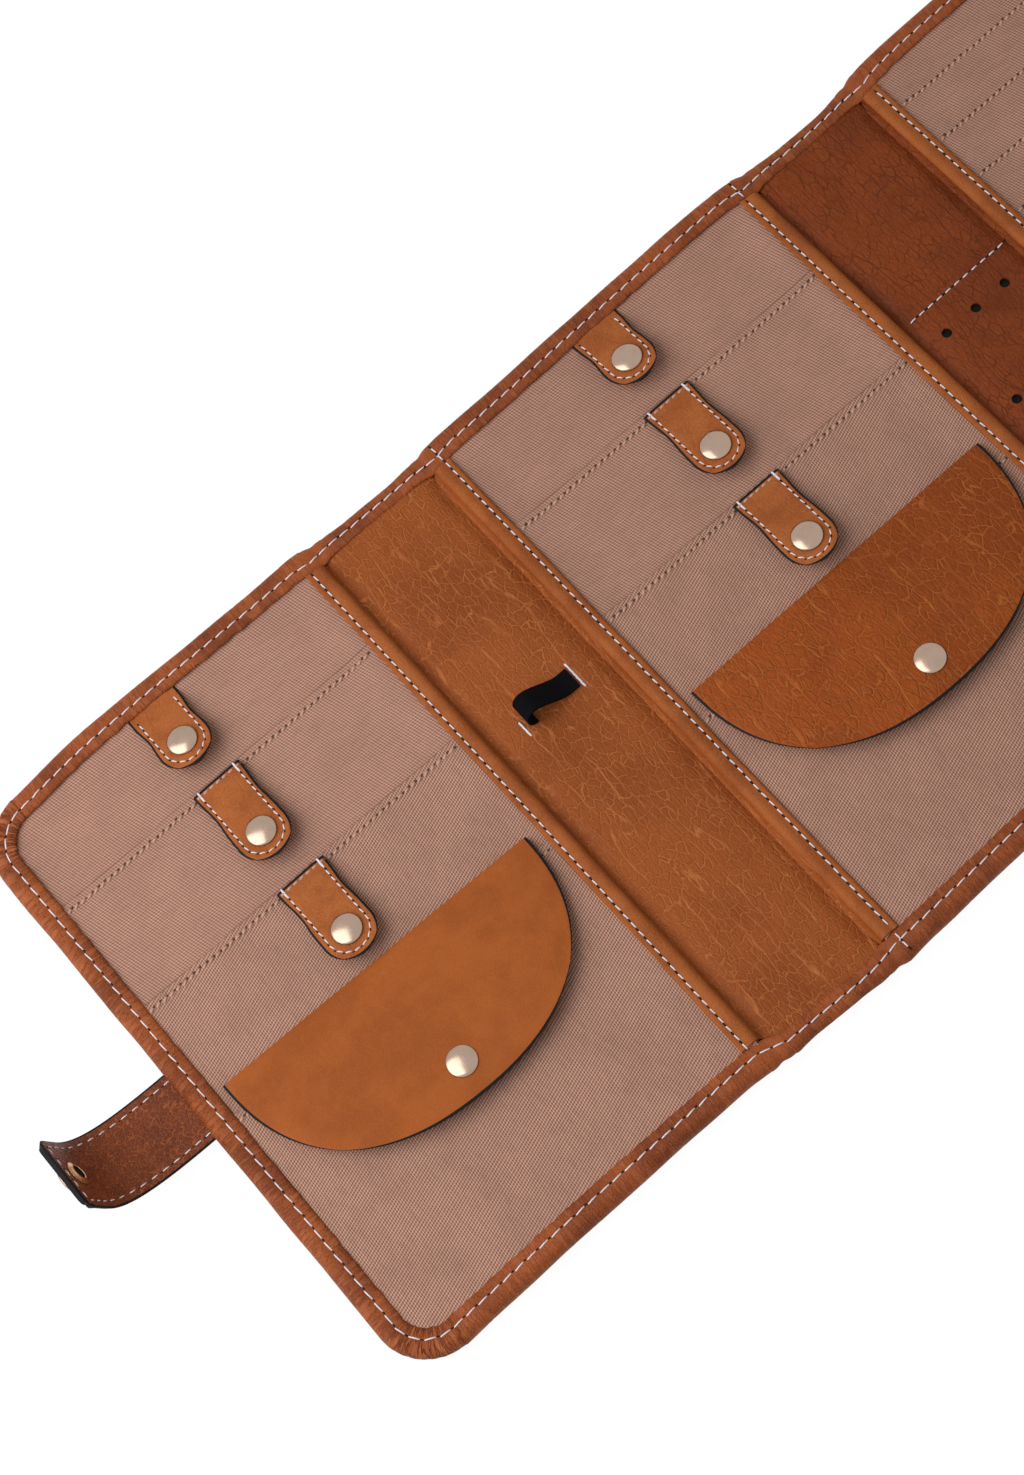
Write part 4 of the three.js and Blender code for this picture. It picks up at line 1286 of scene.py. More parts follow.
@dataclass
class Tab(Fastened):
    """A round-ended leather tab."""

    width: float = 18.4
    stitch_in: float = 2.3
    base_seam: float = 1.5

    @property
    def under_binding(self) -> bool:
        """Whether the tab comes out from under the binding."""
        return self.row == "upper_tab"

    def spot(self, u: float, away: float, radius: float) -> Spot:
        """A place on the tab from its share across and its distance from the sewn edge."""
        straight = self.length - radius
        if away <= straight:
            return u * radius, -away
        w = (away - straight) / radius
        return radius * u * math.sqrt(1 - w * w / 2), -straight - radius * w * math.sqrt(1 - u * u / 2)

    def face_height(self, x: float, y: float) -> float:
        """How far the face dips for its stitches, its sewn edge and its rim."""
        radius = self.width / 2
        straight = self.length - radius
        round_off = math.hypot(x, min(0.0, y + straight))
        rim = radius - round_off if y < -straight else radius - abs(x)
        dip = 0.16 * bump(self.stitch_in, 0.45, rim)
        if not self.under_binding:
            dip += 0.2 * bump(self.base_seam, 0.6, -y) + 0.25 * ramp(1.2, 0.0, -y)
        sag = 0.35 * (abs(x) / radius) ** 3
        return -dip - sag + 0.25 * drift(x, y, 8.0, self.sewn_y)

    def make(self) -> None:
        """Shapes, sews and snaps the tab."""
        radius = self.width / 2
        name = f"{self.panel}_{self.label}"
        start = -3.4 if self.under_binding else 0.0
        across, row, band, near = 24, 0.92, 0.7, 0.01
        piece = Bench.grid(f"{name}_leather", at(-1, start), at(1, self.length), (2 / across, row))
        last = self.length - near
        base = near if not self.under_binding else start - near
        rim = Bench.find(piece, lambda u, away, _: abs(u) > 1 - near or away > last or away < base)

        def cut(u: float, away: float, _: float) -> Triple:
            """Rounds the end, draws in the waist and lays the face."""
            edge = 0.3 * (abs(u) > 1 - near or away > last)
            if 1 - 3 / across < abs(u) < 1 - near:
                u = math.copysign(1 - band / radius, u)
            if last - 1.5 * row < away < last:
                away = self.length - band
            x, y = self.spot(u, away, radius)
            waist = 1 - 0.075 * bump(0.33 * self.length, 0.17 * self.length, away)
            x *= waist
            return x, y, self.face_height(x, y) - edge

        reshape(piece, cut)
        Bench.take(piece)
        bpy.ops.object.mode_set(mode="EDIT")
        bpy.ops.mesh.select_all(action="SELECT")
        bpy.ops.mesh.flip_normals()
        bpy.ops.object.mode_set(mode="OBJECT")
        self.finish(piece, Finish.TAB, "tab_leather", rim)
        self.fasten()
        self.sew(radius)

    def on_face(self, x: float, y: float) -> Vector:
        """A place for thread on the tab's face, in metres."""
        return self.place @ at(x, y, self.face_height(x, y) + 0.12)

    def sew(self, radius: float) -> None:
        """Sews the tab's border, and its base to the pocket."""
        name = f"{self.panel}_{self.label}"
        inner = radius - self.stitch_in
        straight = self.length - radius
        top = 0.3 if self.under_binding else self.base_seam
        right = [(inner, -top - step * (straight - top) / 12) for step in range(13)]
        end = [math.radians(-6 * step) for step in range(1, 30)]
        round_end = [(inner * math.cos(a), -straight + inner * math.sin(a)) for a in end]
        left = [(-x, y) for x, y in reversed(right)]
        up = self.place.to_3x3() @ UP
        border = Seam(f"{name}_stitches", Needle.TAB)
        border.run([self.on_face(x, y) for x, y in [*right, *round_end, *left]], up, 8)
        border.ride(self.body)
        if self.under_binding:
            return
        across = Seam(f"{name}_base_stitches", Needle.CANVAS)
        across.run([self.on_face(x, -self.base_seam) for x in (-radius + 0.6, 0, radius - 0.6)], up)
        across.ride(self.body)
        tack = Seam(f"{name}_tacks", Needle.TACK, 1.5)
        for x in (-inner, inner):
            tack.run([self.on_face(x * 1.02, 0.1 - step) + up * 0.1 * MM for step in (0.3, 1.8, 3.4)], up, 3)
        tack.ride(self.body)


@dataclass
class Flap(Fastened):
    """A half-moon leather flap."""

    skin: Finish = Finish.FLAP_SMOOTH
    skew: float = 0.0
    width: float = 116.0
    power: float = 2.3
    band: float = 0.85

    def make(self) -> None:
        """Shapes and snaps the flap."""
        half = self.width / 2
        name = f"{self.panel}_{self.label}"
        across, down, near = 92, 44, 0.001
        piece = Bench.grid(f"{name}_leather", at(-1, -1), at(1, 0), (2 / across, 1 / down))
        rim = Bench.find(piece, lambda u, v, _: abs(u) > 1 - near or v < near - 1)
        band_u, band_v = 1 - self.band / half, 1 - self.band / self.length

        def cut(u: float, v: float, _: float) -> Triple:
            """Spreads a square over the half moon, with a narrow painted band at its rim, and bows it."""
            edge = 0.3 * (abs(u) > 1 - near or v < near - 1)
            u = math.copysign(band_u, u) if 1 - 3 / across < abs(u) < 1 - near else u
            v = -band_v if near - 1 < v < 1.5 / down - 1 else v
            x = u * math.sqrt(1 - v * v / 2)
            y = v * math.sqrt(1 - u * u / 2)
            radius = math.hypot(x, y)
            if radius > 0:
                rim = (abs(x) ** self.power + abs(y) ** self.power) ** (1 / self.power)
                x, y = x * radius / rim, y * radius / rim
            bow = 1.5 * (1 - x * x) * math.sin(math.pi * min(1.0, -y)) - 0.25 * ramp(0.9, 1.0, radius)
            roll = -0.35 * ramp(0.03, 0.0, -y)
            dent = -0.5 * math.exp(-((x * half / 11) ** 2) - (((y * self.length) + self.snap) / 9) ** 2)
            creases = 0.22 * drift(x * half, y * self.length, 17.0, self.centre_x)
            height = bow + roll + dent + creases - edge
            return x * half, y * self.length - self.skew * x * half, height

        reshape(piece, cut)
        self.finish(piece, self.skin, "flap_leather", rim)
        self.fasten()


def lay_canvas(piece: Piece, finish: Finish, body: str, *nodes: str) -> None:
    """Dresses, thickens, shades and settles a ply of canvas."""
    dress(piece, finish)
    Bench.modify(piece, "SOLIDIFY", thickness=SIZES.canvas * MM, offset=-1)
    Bench.soften(piece)
    settle(piece, body, "canvas", *nodes)


@dataclass
class CanvasSheet:
    """One ply of canvas on a panel."""

    name: str
    body: str
    node: str
    low: Spot
    high: Spot
    top: float
    rests_on: str
    finish: Finish = Finish.CANVAS
    round_side: int = 0
    mouth: bool = True
    also: tuple[str, ...] = ()

    CORNER = 16.6
    BORDER = 6.5
    SLOPE = 9.0
    RISE = 0.7
    SEAM_INSET = 5.6
    ROUND_SEAM_INSET = 7.0
    FOLD_INSET = 5.0

    def lie(self, x: float, y: float) -> float:
        """How the ply swells and rises to its borders, in millimetres."""
        swell = 0.16 * drift(x, y, 31.0, 3.3) + 0.05 * drift(x, y, 9.0, 6.1)
        side = min(x - self.low[0], self.high[0] - x) - self.BORDER
        end = SIZES.lip_line - abs(y)
        rise = self.RISE * (SIZES.lower_top - self.top)
        return swell + rise * ramp(self.SLOPE, 0.0, min(side, end))

    def rounded(self, x: float, y: float) -> Spot:
        """Pulls a place in to the panel's rounded corners."""
        if not self.round_side:
            return x, y
        side = self.round_side
        far = self.low[0] if side < 0 else self.high[0]
        in_x = (x - (far - side * self.CORNER)) * side
        centre_y = self.low[1] + self.CORNER if y < 0 else self.high[1] - self.CORNER
        in_y = centre_y - y if y < 0 else y - centre_y
        if in_x <= 0 or in_y <= 0 or (y > 0 and self.mouth):
            return x, y
        away = math.hypot(in_x, in_y)
        if away <= self.CORNER:
            return x, y
        share = self.CORNER / away
        return far - side * self.CORNER + side * in_x * share, centre_y + math.copysign(in_y * share, y)

    def make(self) -> Piece:
        piece = Bench.grid(self.name, at(*self.low, self.top), at(*self.high, self.top), (3.4, 1.9))
        top_y = self.high[1]

        def lay(x: float, y: float, z: float) -> Triple:
            """Swells the ply and presses the hem's stitch line."""
            x, y = self.rounded(x, y)
            lift = self.lie(x, y)
            if self.mouth:
                away = top_y - y
                pull = 0.25 * bump(0, 9, away % 3.1 - 1.5) * ramp(7, 2.5, away)
                lift += 0.16 * ramp(3.4, 1.6, away) - 0.12 * bump(SIZES.hem, 0.9, away) + 0.1 * pull
            return x, tucked(x, y), z + lift

        reshape(piece, lay)
        lay_canvas(piece, self.finish, self.body, self.node, *self.also)
        return piece

    def hem_seam(self) -> None:
        """Sews the hem below the mouth with thread that matches the canvas."""
        y = self.high[1] - SIZES.hem
        seam = Seam(f"{self.name}_stitches", Needle.CANVAS)
        inset = self.ROUND_SEAM_INSET if self.round_side else self.SEAM_INSET
        first, last = self.low[0] + inset, self.high[0] - inset
        path = line(at(first, y), at(last, y))
        seam.run([at(p.x / MM, y, self.top + self.lie(p.x / MM, y) + 0.24) for p in path], slant=20)
        seam.ride(self.body)
        self.shade_fold_line()

    def shade_fold_line(self) -> None:
        """Rolls a thin dark strand along the mouth: painted shade under the hem's fold."""
        y, reach = self.high[1], 0.22
        first, last = self.low[0] + self.FOLD_INSET, self.high[0] - self.FOLD_INSET
        turns = [math.radians(45 * step) for step in range(8)]
        ring = [at(first, y + reach * math.cos(a), self.top - 0.1 + reach * math.sin(a)) for a in turns]
        piece = Bench.sweep(f"{self.name}_fold", ring, at(last - first, 0), 3.0)
        reshape(piece, lambda x, y, z: (x, y + 0.15 * drift(x, 0, 5.0, y), z + self.lie(x, y) + 0.1))
        complete(piece, Finish.HEM, self.body, "canvas")


def cover_sheet(name: str, body: str, node: str, low: Spot, high: Spot, round_side: int) -> None:
    """Makes the outer leather of a panel.

    Args:
        name: The piece's name.
        body: The body that it rides on.
        node: The solid that it stands for.
        low: Lowest corner in millimetres.
        high: Highest corner in millimetres.
        round_side: -1 or 1 where that side has rounded corners, or 0.
    """
    piece = Bench.grid(name, at(*low, SIZES.cover_top), at(*high, SIZES.cover_top), (3.2, 3.2))
    radius = SIZES.corner - SIZES.binding_width
    far = low[0] if round_side < 0 else high[0]

    def shaped(x: float, y: float, z: float) -> Triple:
        """Rounds the far corners."""
        in_x = (x - far) * round_side + radius
        in_y = abs(y) - (high[1] - radius)
        away = math.hypot(max(in_x, 0), max(in_y, 0))
        if round_side and in_x > 0 and in_y > 0 and away > radius:
            x -= round_side * in_x * (1 - radius / away)
            y -= math.copysign(in_y * (1 - radius / away), y)
        return x, y + stray(x, y), z + 0.06 * drift(x, y, 24.0, 7.7)

    reshape(piece, shaped)
    Bench.thicken(piece, SIZES.cover_top - SIZES.ply_gap, 0.35)
    complete(piece, Finish.COVER, body, "cover_leather", node)


@dataclass
class PocketPanel:
    """A canvas panel with three pockets, three tabs and a half-moon flap."""

    name: str
    centre_x: float
    low_x: float
    high_x: float
    shift: float
    round_side: int
    flap_skin: Finish
    flap_skew: float

    TAB_LENGTH = 34.0
    TAB_SNAP = 24.5
    TAB_THICK = 2.2
    HIDDEN = 8.8
    BELOW_LIP = 0.7
    FLAP_LENGTH = 54.0
    FLAP_SNAP = 42.4
    FLAP_THICK = 1.8

    def plies(self) -> None:
        """Lays the lining and the three pocket fronts."""
        bottom = SIZES.sheet_inset - SIZES.half
        full = SIZES.half - SIZES.sheet_inset
        upper = SIZES.upper_seam + self.shift + SIZES.hem
        centre = SIZES.centre_seam + self.shift + SIZES.hem
        lower = SIZES.flap_line + self.shift - SIZES.flap_to_mouth
        rows = (
            ("lining", full, SIZES.lining_top, "padding", Finish.CANVAS, False),
            ("pocket_upper", upper, SIZES.upper_top, "lining", Finish.CANVAS, True),
            ("pocket_centre", centre, SIZES.centre_top, "pocket_upper", Finish.CANVAS_CROSS, True),
            ("pocket_lower", lower, SIZES.lower_top, "pocket_centre", Finish.CANVAS_CROSS, True),
        )
        for label_, top_y, top, below, finish, mouth in rows:
            sheet = CanvasSheet(
                name=f"{self.name}_{label_}_canvas", body=self.name, node=f"{self.name}_{label_}",
                low=(self.low_x, bottom), high=(self.high_x, top_y), top=top,
                rests_on=f"{self.name}_{below}", finish=finish, round_side=self.round_side, mouth=mouth,
                also=() if mouth else (f"{self.name}_padding",),
            )
            sheet.make()
            if mouth:
                sheet.hem_seam()

    def fastenings(self) -> None:
        """Adds the tabs and the flap."""
        upper = SIZES.upper_seam + self.shift
        centre = SIZES.centre_seam + self.shift
        rows = (
            ("upper_tab", "tab_upper", SIZES.lip_line - self.BELOW_LIP, self.HIDDEN, SIZES.lining_top),
            ("centre_tab", "tab_centre", upper + Tab.base_seam, 0.0, SIZES.upper_top),
            ("lower_tab", "tab_lower", centre + Tab.base_seam, 0.0, SIZES.centre_top),
        )
        for row, label_, sewn, cut_off, level in rows:
            Tab(
                self.name, row, label_, self.centre_x, sewn, level,
                seat_gap=0.3, under=level, length=self.TAB_LENGTH - cut_off, snap=self.TAB_SNAP - cut_off,
                thickness=self.TAB_THICK,
            ).make()
        Flap(
            self.name, "pocket_flap", "flap", self.centre_x, SIZES.flap_line + self.shift, SIZES.centre_top,
            seat_gap=0.6, under=SIZES.lower_top, length=self.FLAP_LENGTH, snap=self.FLAP_SNAP,
            thickness=self.FLAP_THICK, skin=self.flap_skin, skew=self.flap_skew,
        ).make()


def edge_path(side: Side, edge_x: float, near_x: float) -> list[Vector]:
    """The stitch line round the three free edges of an outer panel."""
    bend, turn_y = edge_x - side.value * SIZES.corner, SIZES.half - SIZES.corner
    radius, reach = SIZES.corner - SIZES.binding_stitch, SIZES.stitch_line
    far = 0 if side is Side.RIGHT else 180
    first = arc((bend, turn_y), radius, 90, far, 0)
    second = arc((bend, -turn_y), radius, -far, -90, 0)
    path = [*line(at(near_x, reach), at(bend, reach)), *first[1:], *line(first[-1], second[0])[1:]]
    return [*path, *second[1:], *line(second[-1], at(near_x, -reach))[1:]]


class MiddlePanel:
    """The middle panel, which the spines fold up on."""

    def build(self) -> None:
        """Builds the panel."""
        inner, edge, gap = SIZES.inner_crease, SIZES.cover_edge, SIZES.sheet_gap
        reach = inner - SIZES.crease_reach
        cover_sheet("middle_cover_leather", "middle", "middle_cover", (-reach, -edge), (reach, edge), 0)
        panel = PocketPanel("middle", 0.0, -inner + gap, inner - gap, -1.0, 0, Finish.FLAP_PEBBLED, 0.0)
        panel.plies()
        panel.fastenings()
        for end, word in ENDS:
            node = f"middle_binding_{word}"
            Binding().bind_end(node, "middle", PANEL_EDGE, end, (-reach, reach))
            self.cross_stitches(f"{node}_cross_stitches", end)
        Piping().make("middle_piping_left", "middle", -inner, 1)
        Piping().make("middle_piping_right", "middle", inner, -1)

    @staticmethod
    def cross_stitches(name: str, end: int) -> None:
        """Locks the ends of the binding with stitches across it."""
        seam = Seam(name, Needle.PIPING, 3.2)
        for side in Side:
            x = side.value * (SIZES.inner_crease - 5.2)
            rows = (SIZES.lip_line + 0.6, SIZES.lip_line + 6.6)
            seam.run([at(*PANEL_EDGE.eased(x, end * y, SIZES.panel_top + 0.05)) for y in rows])
        seam.ride("middle")


class LeftPanel:
    """The left panel, whose free edge carries the strap."""

    def build(self) -> None:
        """Builds the panel."""
        outer, edge_x, edge = SIZES.outer_crease, SIZES.left_edge, SIZES.cover_edge
        near = -outer - SIZES.crease_reach
        low_x = edge_x + SIZES.binding_width + SIZES.ply_gap
        cover_sheet("left_cover_leather", "left", "left_cover", (low_x, -edge), (near, edge), -1)
        centre, span = (edge_x - outer) / 2, (edge_x + SIZES.sheet_inset, -outer - SIZES.sheet_gap)
        panel = PocketPanel("left", centre, *span, 1.0, -1, Finish.FLAP_SMOOTH, 0.03)
        panel.plies()
        panel.fastenings()
        Binding().bind_sides("left", Side.LEFT, edge_x, near)
        Piping().make("left_piping", "left", -outer, -1)


class RightPanel:
    """The right panel, with its row of narrow needle sleeves."""

    FIRST_LINE = 92.8
    PITCH = 17.6
    LINES = 11
    MOUTH = 22.0

    def build(self) -> None:
        """Builds the panel."""
        outer, edge_x, edge = SIZES.outer_crease, SIZES.right_edge, SIZES.cover_edge
        near = outer + SIZES.crease_reach
        high_x = edge_x - SIZES.binding_width - SIZES.ply_gap
        cover_sheet("right_cover_leather", "right", "right_cover", (near, -edge), (high_x, edge), 1)
        bottom = SIZES.sheet_inset - SIZES.half
        low, high = (outer + SIZES.sheet_gap, bottom), (edge_x - SIZES.sheet_inset, -bottom)
        name = "right_lining"
        lining = CanvasSheet(f"{name}_canvas", "right", name, low, high, SIZES.lining_top, "right_cover")
        lining.round_side, lining.mouth = 1, False
        lining.make()
        self.sleeves()
        Binding().bind_sides("right", Side.RIGHT, edge_x, near)
        Piping().make("right_piping", "right", outer, 1)

    def puff(self, y: float) -> float:
        """How far a sleeve stands up between its stitch lines."""
        share = (self.FIRST_LINE - y) / self.PITCH
        if share < 0 or share > self.LINES - 1:
            return 0.0
        return 0.5 * abs(math.sin(math.pi * share)) ** 0.8

    def sleeves(self) -> None:
        """Lays the sleeve canvas and sews its channels."""
        outer, mouth_x = SIZES.outer_crease, SIZES.right_edge - self.MOUTH
        reach, top = SIZES.half - SIZES.sheet_inset, SIZES.upper_top
        low, high = (outer + SIZES.sheet_gap, SIZES.sheet_inset - SIZES.half), (mouth_x, reach)
        piece = Bench.grid("right_sleeves_canvas", at(*low, top), at(*high, top), (3.0, 1.1))
        swell = CanvasSheet("swell", "", "", low, high, top, "").lie

        def sewn(x: float, y: float, z: float) -> Triple:
            """Swells the sleeves, most at their open ends."""
            open_end = 0.6 + 0.4 * ramp(outer + 20, mouth_x, x)
            puff = self.puff(y) * open_end * ramp(outer + 7, outer + 16, x)
            return x, tucked(x, y), z + swell(x, y) + puff

        reshape(piece, sewn)
        lay_canvas(piece, Finish.CANVAS, "right", "right_sleeves")
        seam = Seam("right_sleeves_stitches", Needle.CANVAS)
        for number in range(self.LINES):
            y = self.FIRST_LINE - number * self.PITCH
            path = line(at(outer + 7.8, y), at(mouth_x - 1, y))
            seam.run([at(p.x / MM, y, top + swell(p.x / MM, y) + 0.22) for p in path], slant=18)
        seam.ride("right")


@dataclass
class Spine:
    """A leather spine between two creases."""

    name: str
    side: Side
    skin: Finish = Finish.SPINE

    LINING_THICK = 0.95
    LINING_GAP = 0.3

    def across(self, near: float, far: float) -> Spot:
        """Two distances from the middle panel, as a span along X."""
        ends = sorted((self.side.value * near, self.side.value * far))
        return ends[0], ends[1]

    def build(self) -> Piece:
        """Builds the outer leather, the bindings and the lining, and returns the lining."""
        reach, edge, top = SIZES.crease_reach, SIZES.cover_edge, SIZES.spine_cover_top
        span = self.across(SIZES.inner_crease + reach, SIZES.outer_crease - reach)
        low, high = at(span[0], -edge, top), at(span[1], edge, top)
        cover = Bench.grid(f"{self.name}_cover_leather", low, high, (3.2, 3.2))
        reshape(cover, lambda x, y, z: (x, y + stray(x, y), z))
        Bench.thicken(cover, top - SIZES.spine_cover_low, 0.25)
        complete(cover, Finish.COVER, self.name, "cover_leather", f"{self.name}_cover")
        for end, word in ENDS:
            Binding().bind_end(f"{self.name}_binding_{word}", self.name, SPINE_EDGE, end, span)
        return self.lining()

    def lining(self) -> Piece:
        """Lays the soft lining, hollowed along its middle and gathered at its ends."""
        span = self.across(SIZES.inner_crease + self.LINING_GAP, SIZES.outer_crease - self.LINING_GAP)
        edge, top = SIZES.spine_half - SIZES.sheet_inset, SIZES.spine_top
        low, high = at(span[0], -edge, top), at(span[1], edge, top)
        piece = Bench.grid(f"{self.name}_lining_leather", low, high, (1.5, 2.2))
        middle = (span[0] + span[1]) / 2
        half = (span[1] - span[0]) / 2

        def laid(x: float, y: float, z: float) -> Triple:
            """Bows the leather and gives it long soft folds."""
            share = abs(x - middle) / half
            bow = 0.35 * ramp(1.0, 0.45, share) - 1.3 * ramp(0.8, 1.0, share)
            fold = 0.28 * drift(x, y * 0.35, 9.0, self.side.value) * ramp(1.0, 0.7, share)
            at_end = ramp(SIZES.lip_line - 22, SIZES.lip_line - 3, abs(y))
            gather = 0.3 * drift(x, y * 0.1, 3.6, 2.0) * at_end
            flat = ramp(SIZES.lip_line + 1, SIZES.lip_line - 4, abs(y))
            return x, y, z + flat * (bow + fold + gather * ramp(1.0, 0.7, share))

        reshape(piece, laid)
        dress(piece, self.skin)
        Bench.thicken(piece, self.LINING_THICK, 0.25)
        return piece

    def finish_lining(self, piece: Piece) -> None:
        """Shades and settles the lining."""
        Bench.soften(piece)
        settle(piece, self.name, "spine_leather", f"{self.name}_lining")


class LeftSpine(Spine):
    """The left spine, with a black elastic loop for a tool."""

    WIDTH = 7.3
    THICK = 0.85
    SPAN = 20.0
    HEIGHT = 9.6
    FOOT = 3.4
    LOOP_Y = 20.5
    TACKS = ((-79.3, 16.0, 25.4), (-101.6, 15.4, 20.6))

    def build(self) -> Piece:
        """Builds the spine and its loop."""
        lining = super().build()
        self.finish_lining(lining)
        self.loop()
        tacks = Seam("elastic_loop_tacks", Needle.TACK, 1.9)
        height = SIZES.spine_top + 0.55
        for x, first, last in self.TACKS:
            tacks.run(line(at(x, first, height), at(x, last, height)), slant=4)
        tacks.ride(self.name)
        return lining

    def loop(self) -> None:
        """Bends the elastic up from its right foot and back under at its left."""
        floor = SIZES.spine_top + 0.5 + self.THICK / 2
        peak = floor + self.HEIGHT - 0.4
        right = self.SPAN / 2 - (SIZES.inner_crease + SIZES.outer_crease) / 2
        left, foot = right - self.SPAN, self.FOOT
        low, bent = at(right - foot, 0, floor), at(right - 2 * foot, 0, floor)
        before, top = at(left + 2 * foot, 0, peak), at(left + foot, 0, peak)
        under = at(left + foot, 0, floor)
        rise = interpolate_bezier(low, bent, before, top, 16)
        fall = interpolate_bezier(top, at(left - 0.3, 0, peak), at(left - 0.5, 0, floor), under, 16)
        path = [at(right, 0, floor), *rise, *fall[1:]]
        outside, inside = [], []
        for index, point in enumerate(path):
            along = (path[min(index + 1, len(path) - 1)] - path[max(index - 1, 0)]).normalized()
            beside = Vector((-along.z, 0, along.x)) * self.THICK * MM / 2
            outside.append(point + beside)
            inside.append(point - beside)
        base = at(0, self.LOOP_Y - self.WIDTH / 2)
        section = [point + base for point in [*outside, *reversed(inside)]]
        piece = Bench.sweep("elastic_loop_band", section, at(0, self.WIDTH), 0.6)
        Bench.soften(piece, 50)
        dress(piece, Finish.ELASTIC)
        settle(piece, self.name, "elastic", "elastic_loop")


class RightSpine(Spine):
    """The right spine, with two rows of punched holes and the strap's stud."""

    HOLE_ROWS = (25.4, -5.7)
    HOLE_PITCH = 12.0
    HOLE_RADIUS = 1.65
    HOLE_OFFSET = -1.5
    CROSS_SEAMS = (35.7, -16.0)
    SEAM_SPAN = (70.6, 110.4)
    PUNCH_DEPTH = 6
    STUD_FROM_CREASE = 19.8

    def build(self) -> Piece:
        """Builds the spine, punches its holes and sews across it."""
        lining = super().build()
        middle = (SIZES.inner_crease + SIZES.outer_crease) / 2 + self.HOLE_OFFSET
        spots = [(middle + step * self.HOLE_PITCH, row) for row in self.HOLE_ROWS for step in (-1, 0, 1)]
        for x, y in spots:
            Bench.clear()
            spot, radius, depth = at(x, y, SIZES.spine_top), self.HOLE_RADIUS * MM, self.PUNCH_DEPTH * MM
            bpy.ops.mesh.primitive_cylinder_add(vertices=24, radius=radius, depth=depth, location=spot)
            punch = Bench.put_down("hole_punch")
            Bench.modify(lining, "BOOLEAN", object=punch, operation="DIFFERENCE", solver="EXACT")
            bpy.data.objects.remove(punch)
        self.finish_lining(lining)
        self.shade_holes(spots)
        seam = Seam("right_spine_cross_stitches", Needle.PIPING, 3.6)
        for y in self.CROSS_SEAMS:
            seam.run(line(*[at(x, y, SIZES.spine_top + 0.45) for x in self.SEAM_SPAN]))
        seam.ride(self.name)
        spot = at(SIZES.inner_crease + self.STUD_FROM_CREASE, SIZES.strap_y, SIZES.spine_cover_low)
        place = Matrix.Translation(spot) @ Matrix.Rotation(math.pi, 4, "X")
        SnapFastener(0.0).stud("strap_stud_post", place, self.name, "strap_stud")
        return lining

    def shade_holes(self, spots: Sequence[Spot]) -> None:
        """Backs the holes with dark cups: painted shade seen through the holes."""
        rim = self.HOLE_RADIUS + 0.3
        cup = [(0, 3.62), (rim, 3.62), (rim, 3.74), (0, 3.7)]
        mesh = Bench.keep_mesh(Bench.lathe("hole_cup", cup, 20))
        places = [Matrix.Translation(at(*spot)) for spot in spots]
        cups = [Bench.copy(f"hole_cup_{number}", mesh, place) for number, place in enumerate(places)]
        piece = Bench.join("right_spine_hole_backs", cups)
        dress(piece, Finish.HOLE)
        settle(piece, self.name, None)


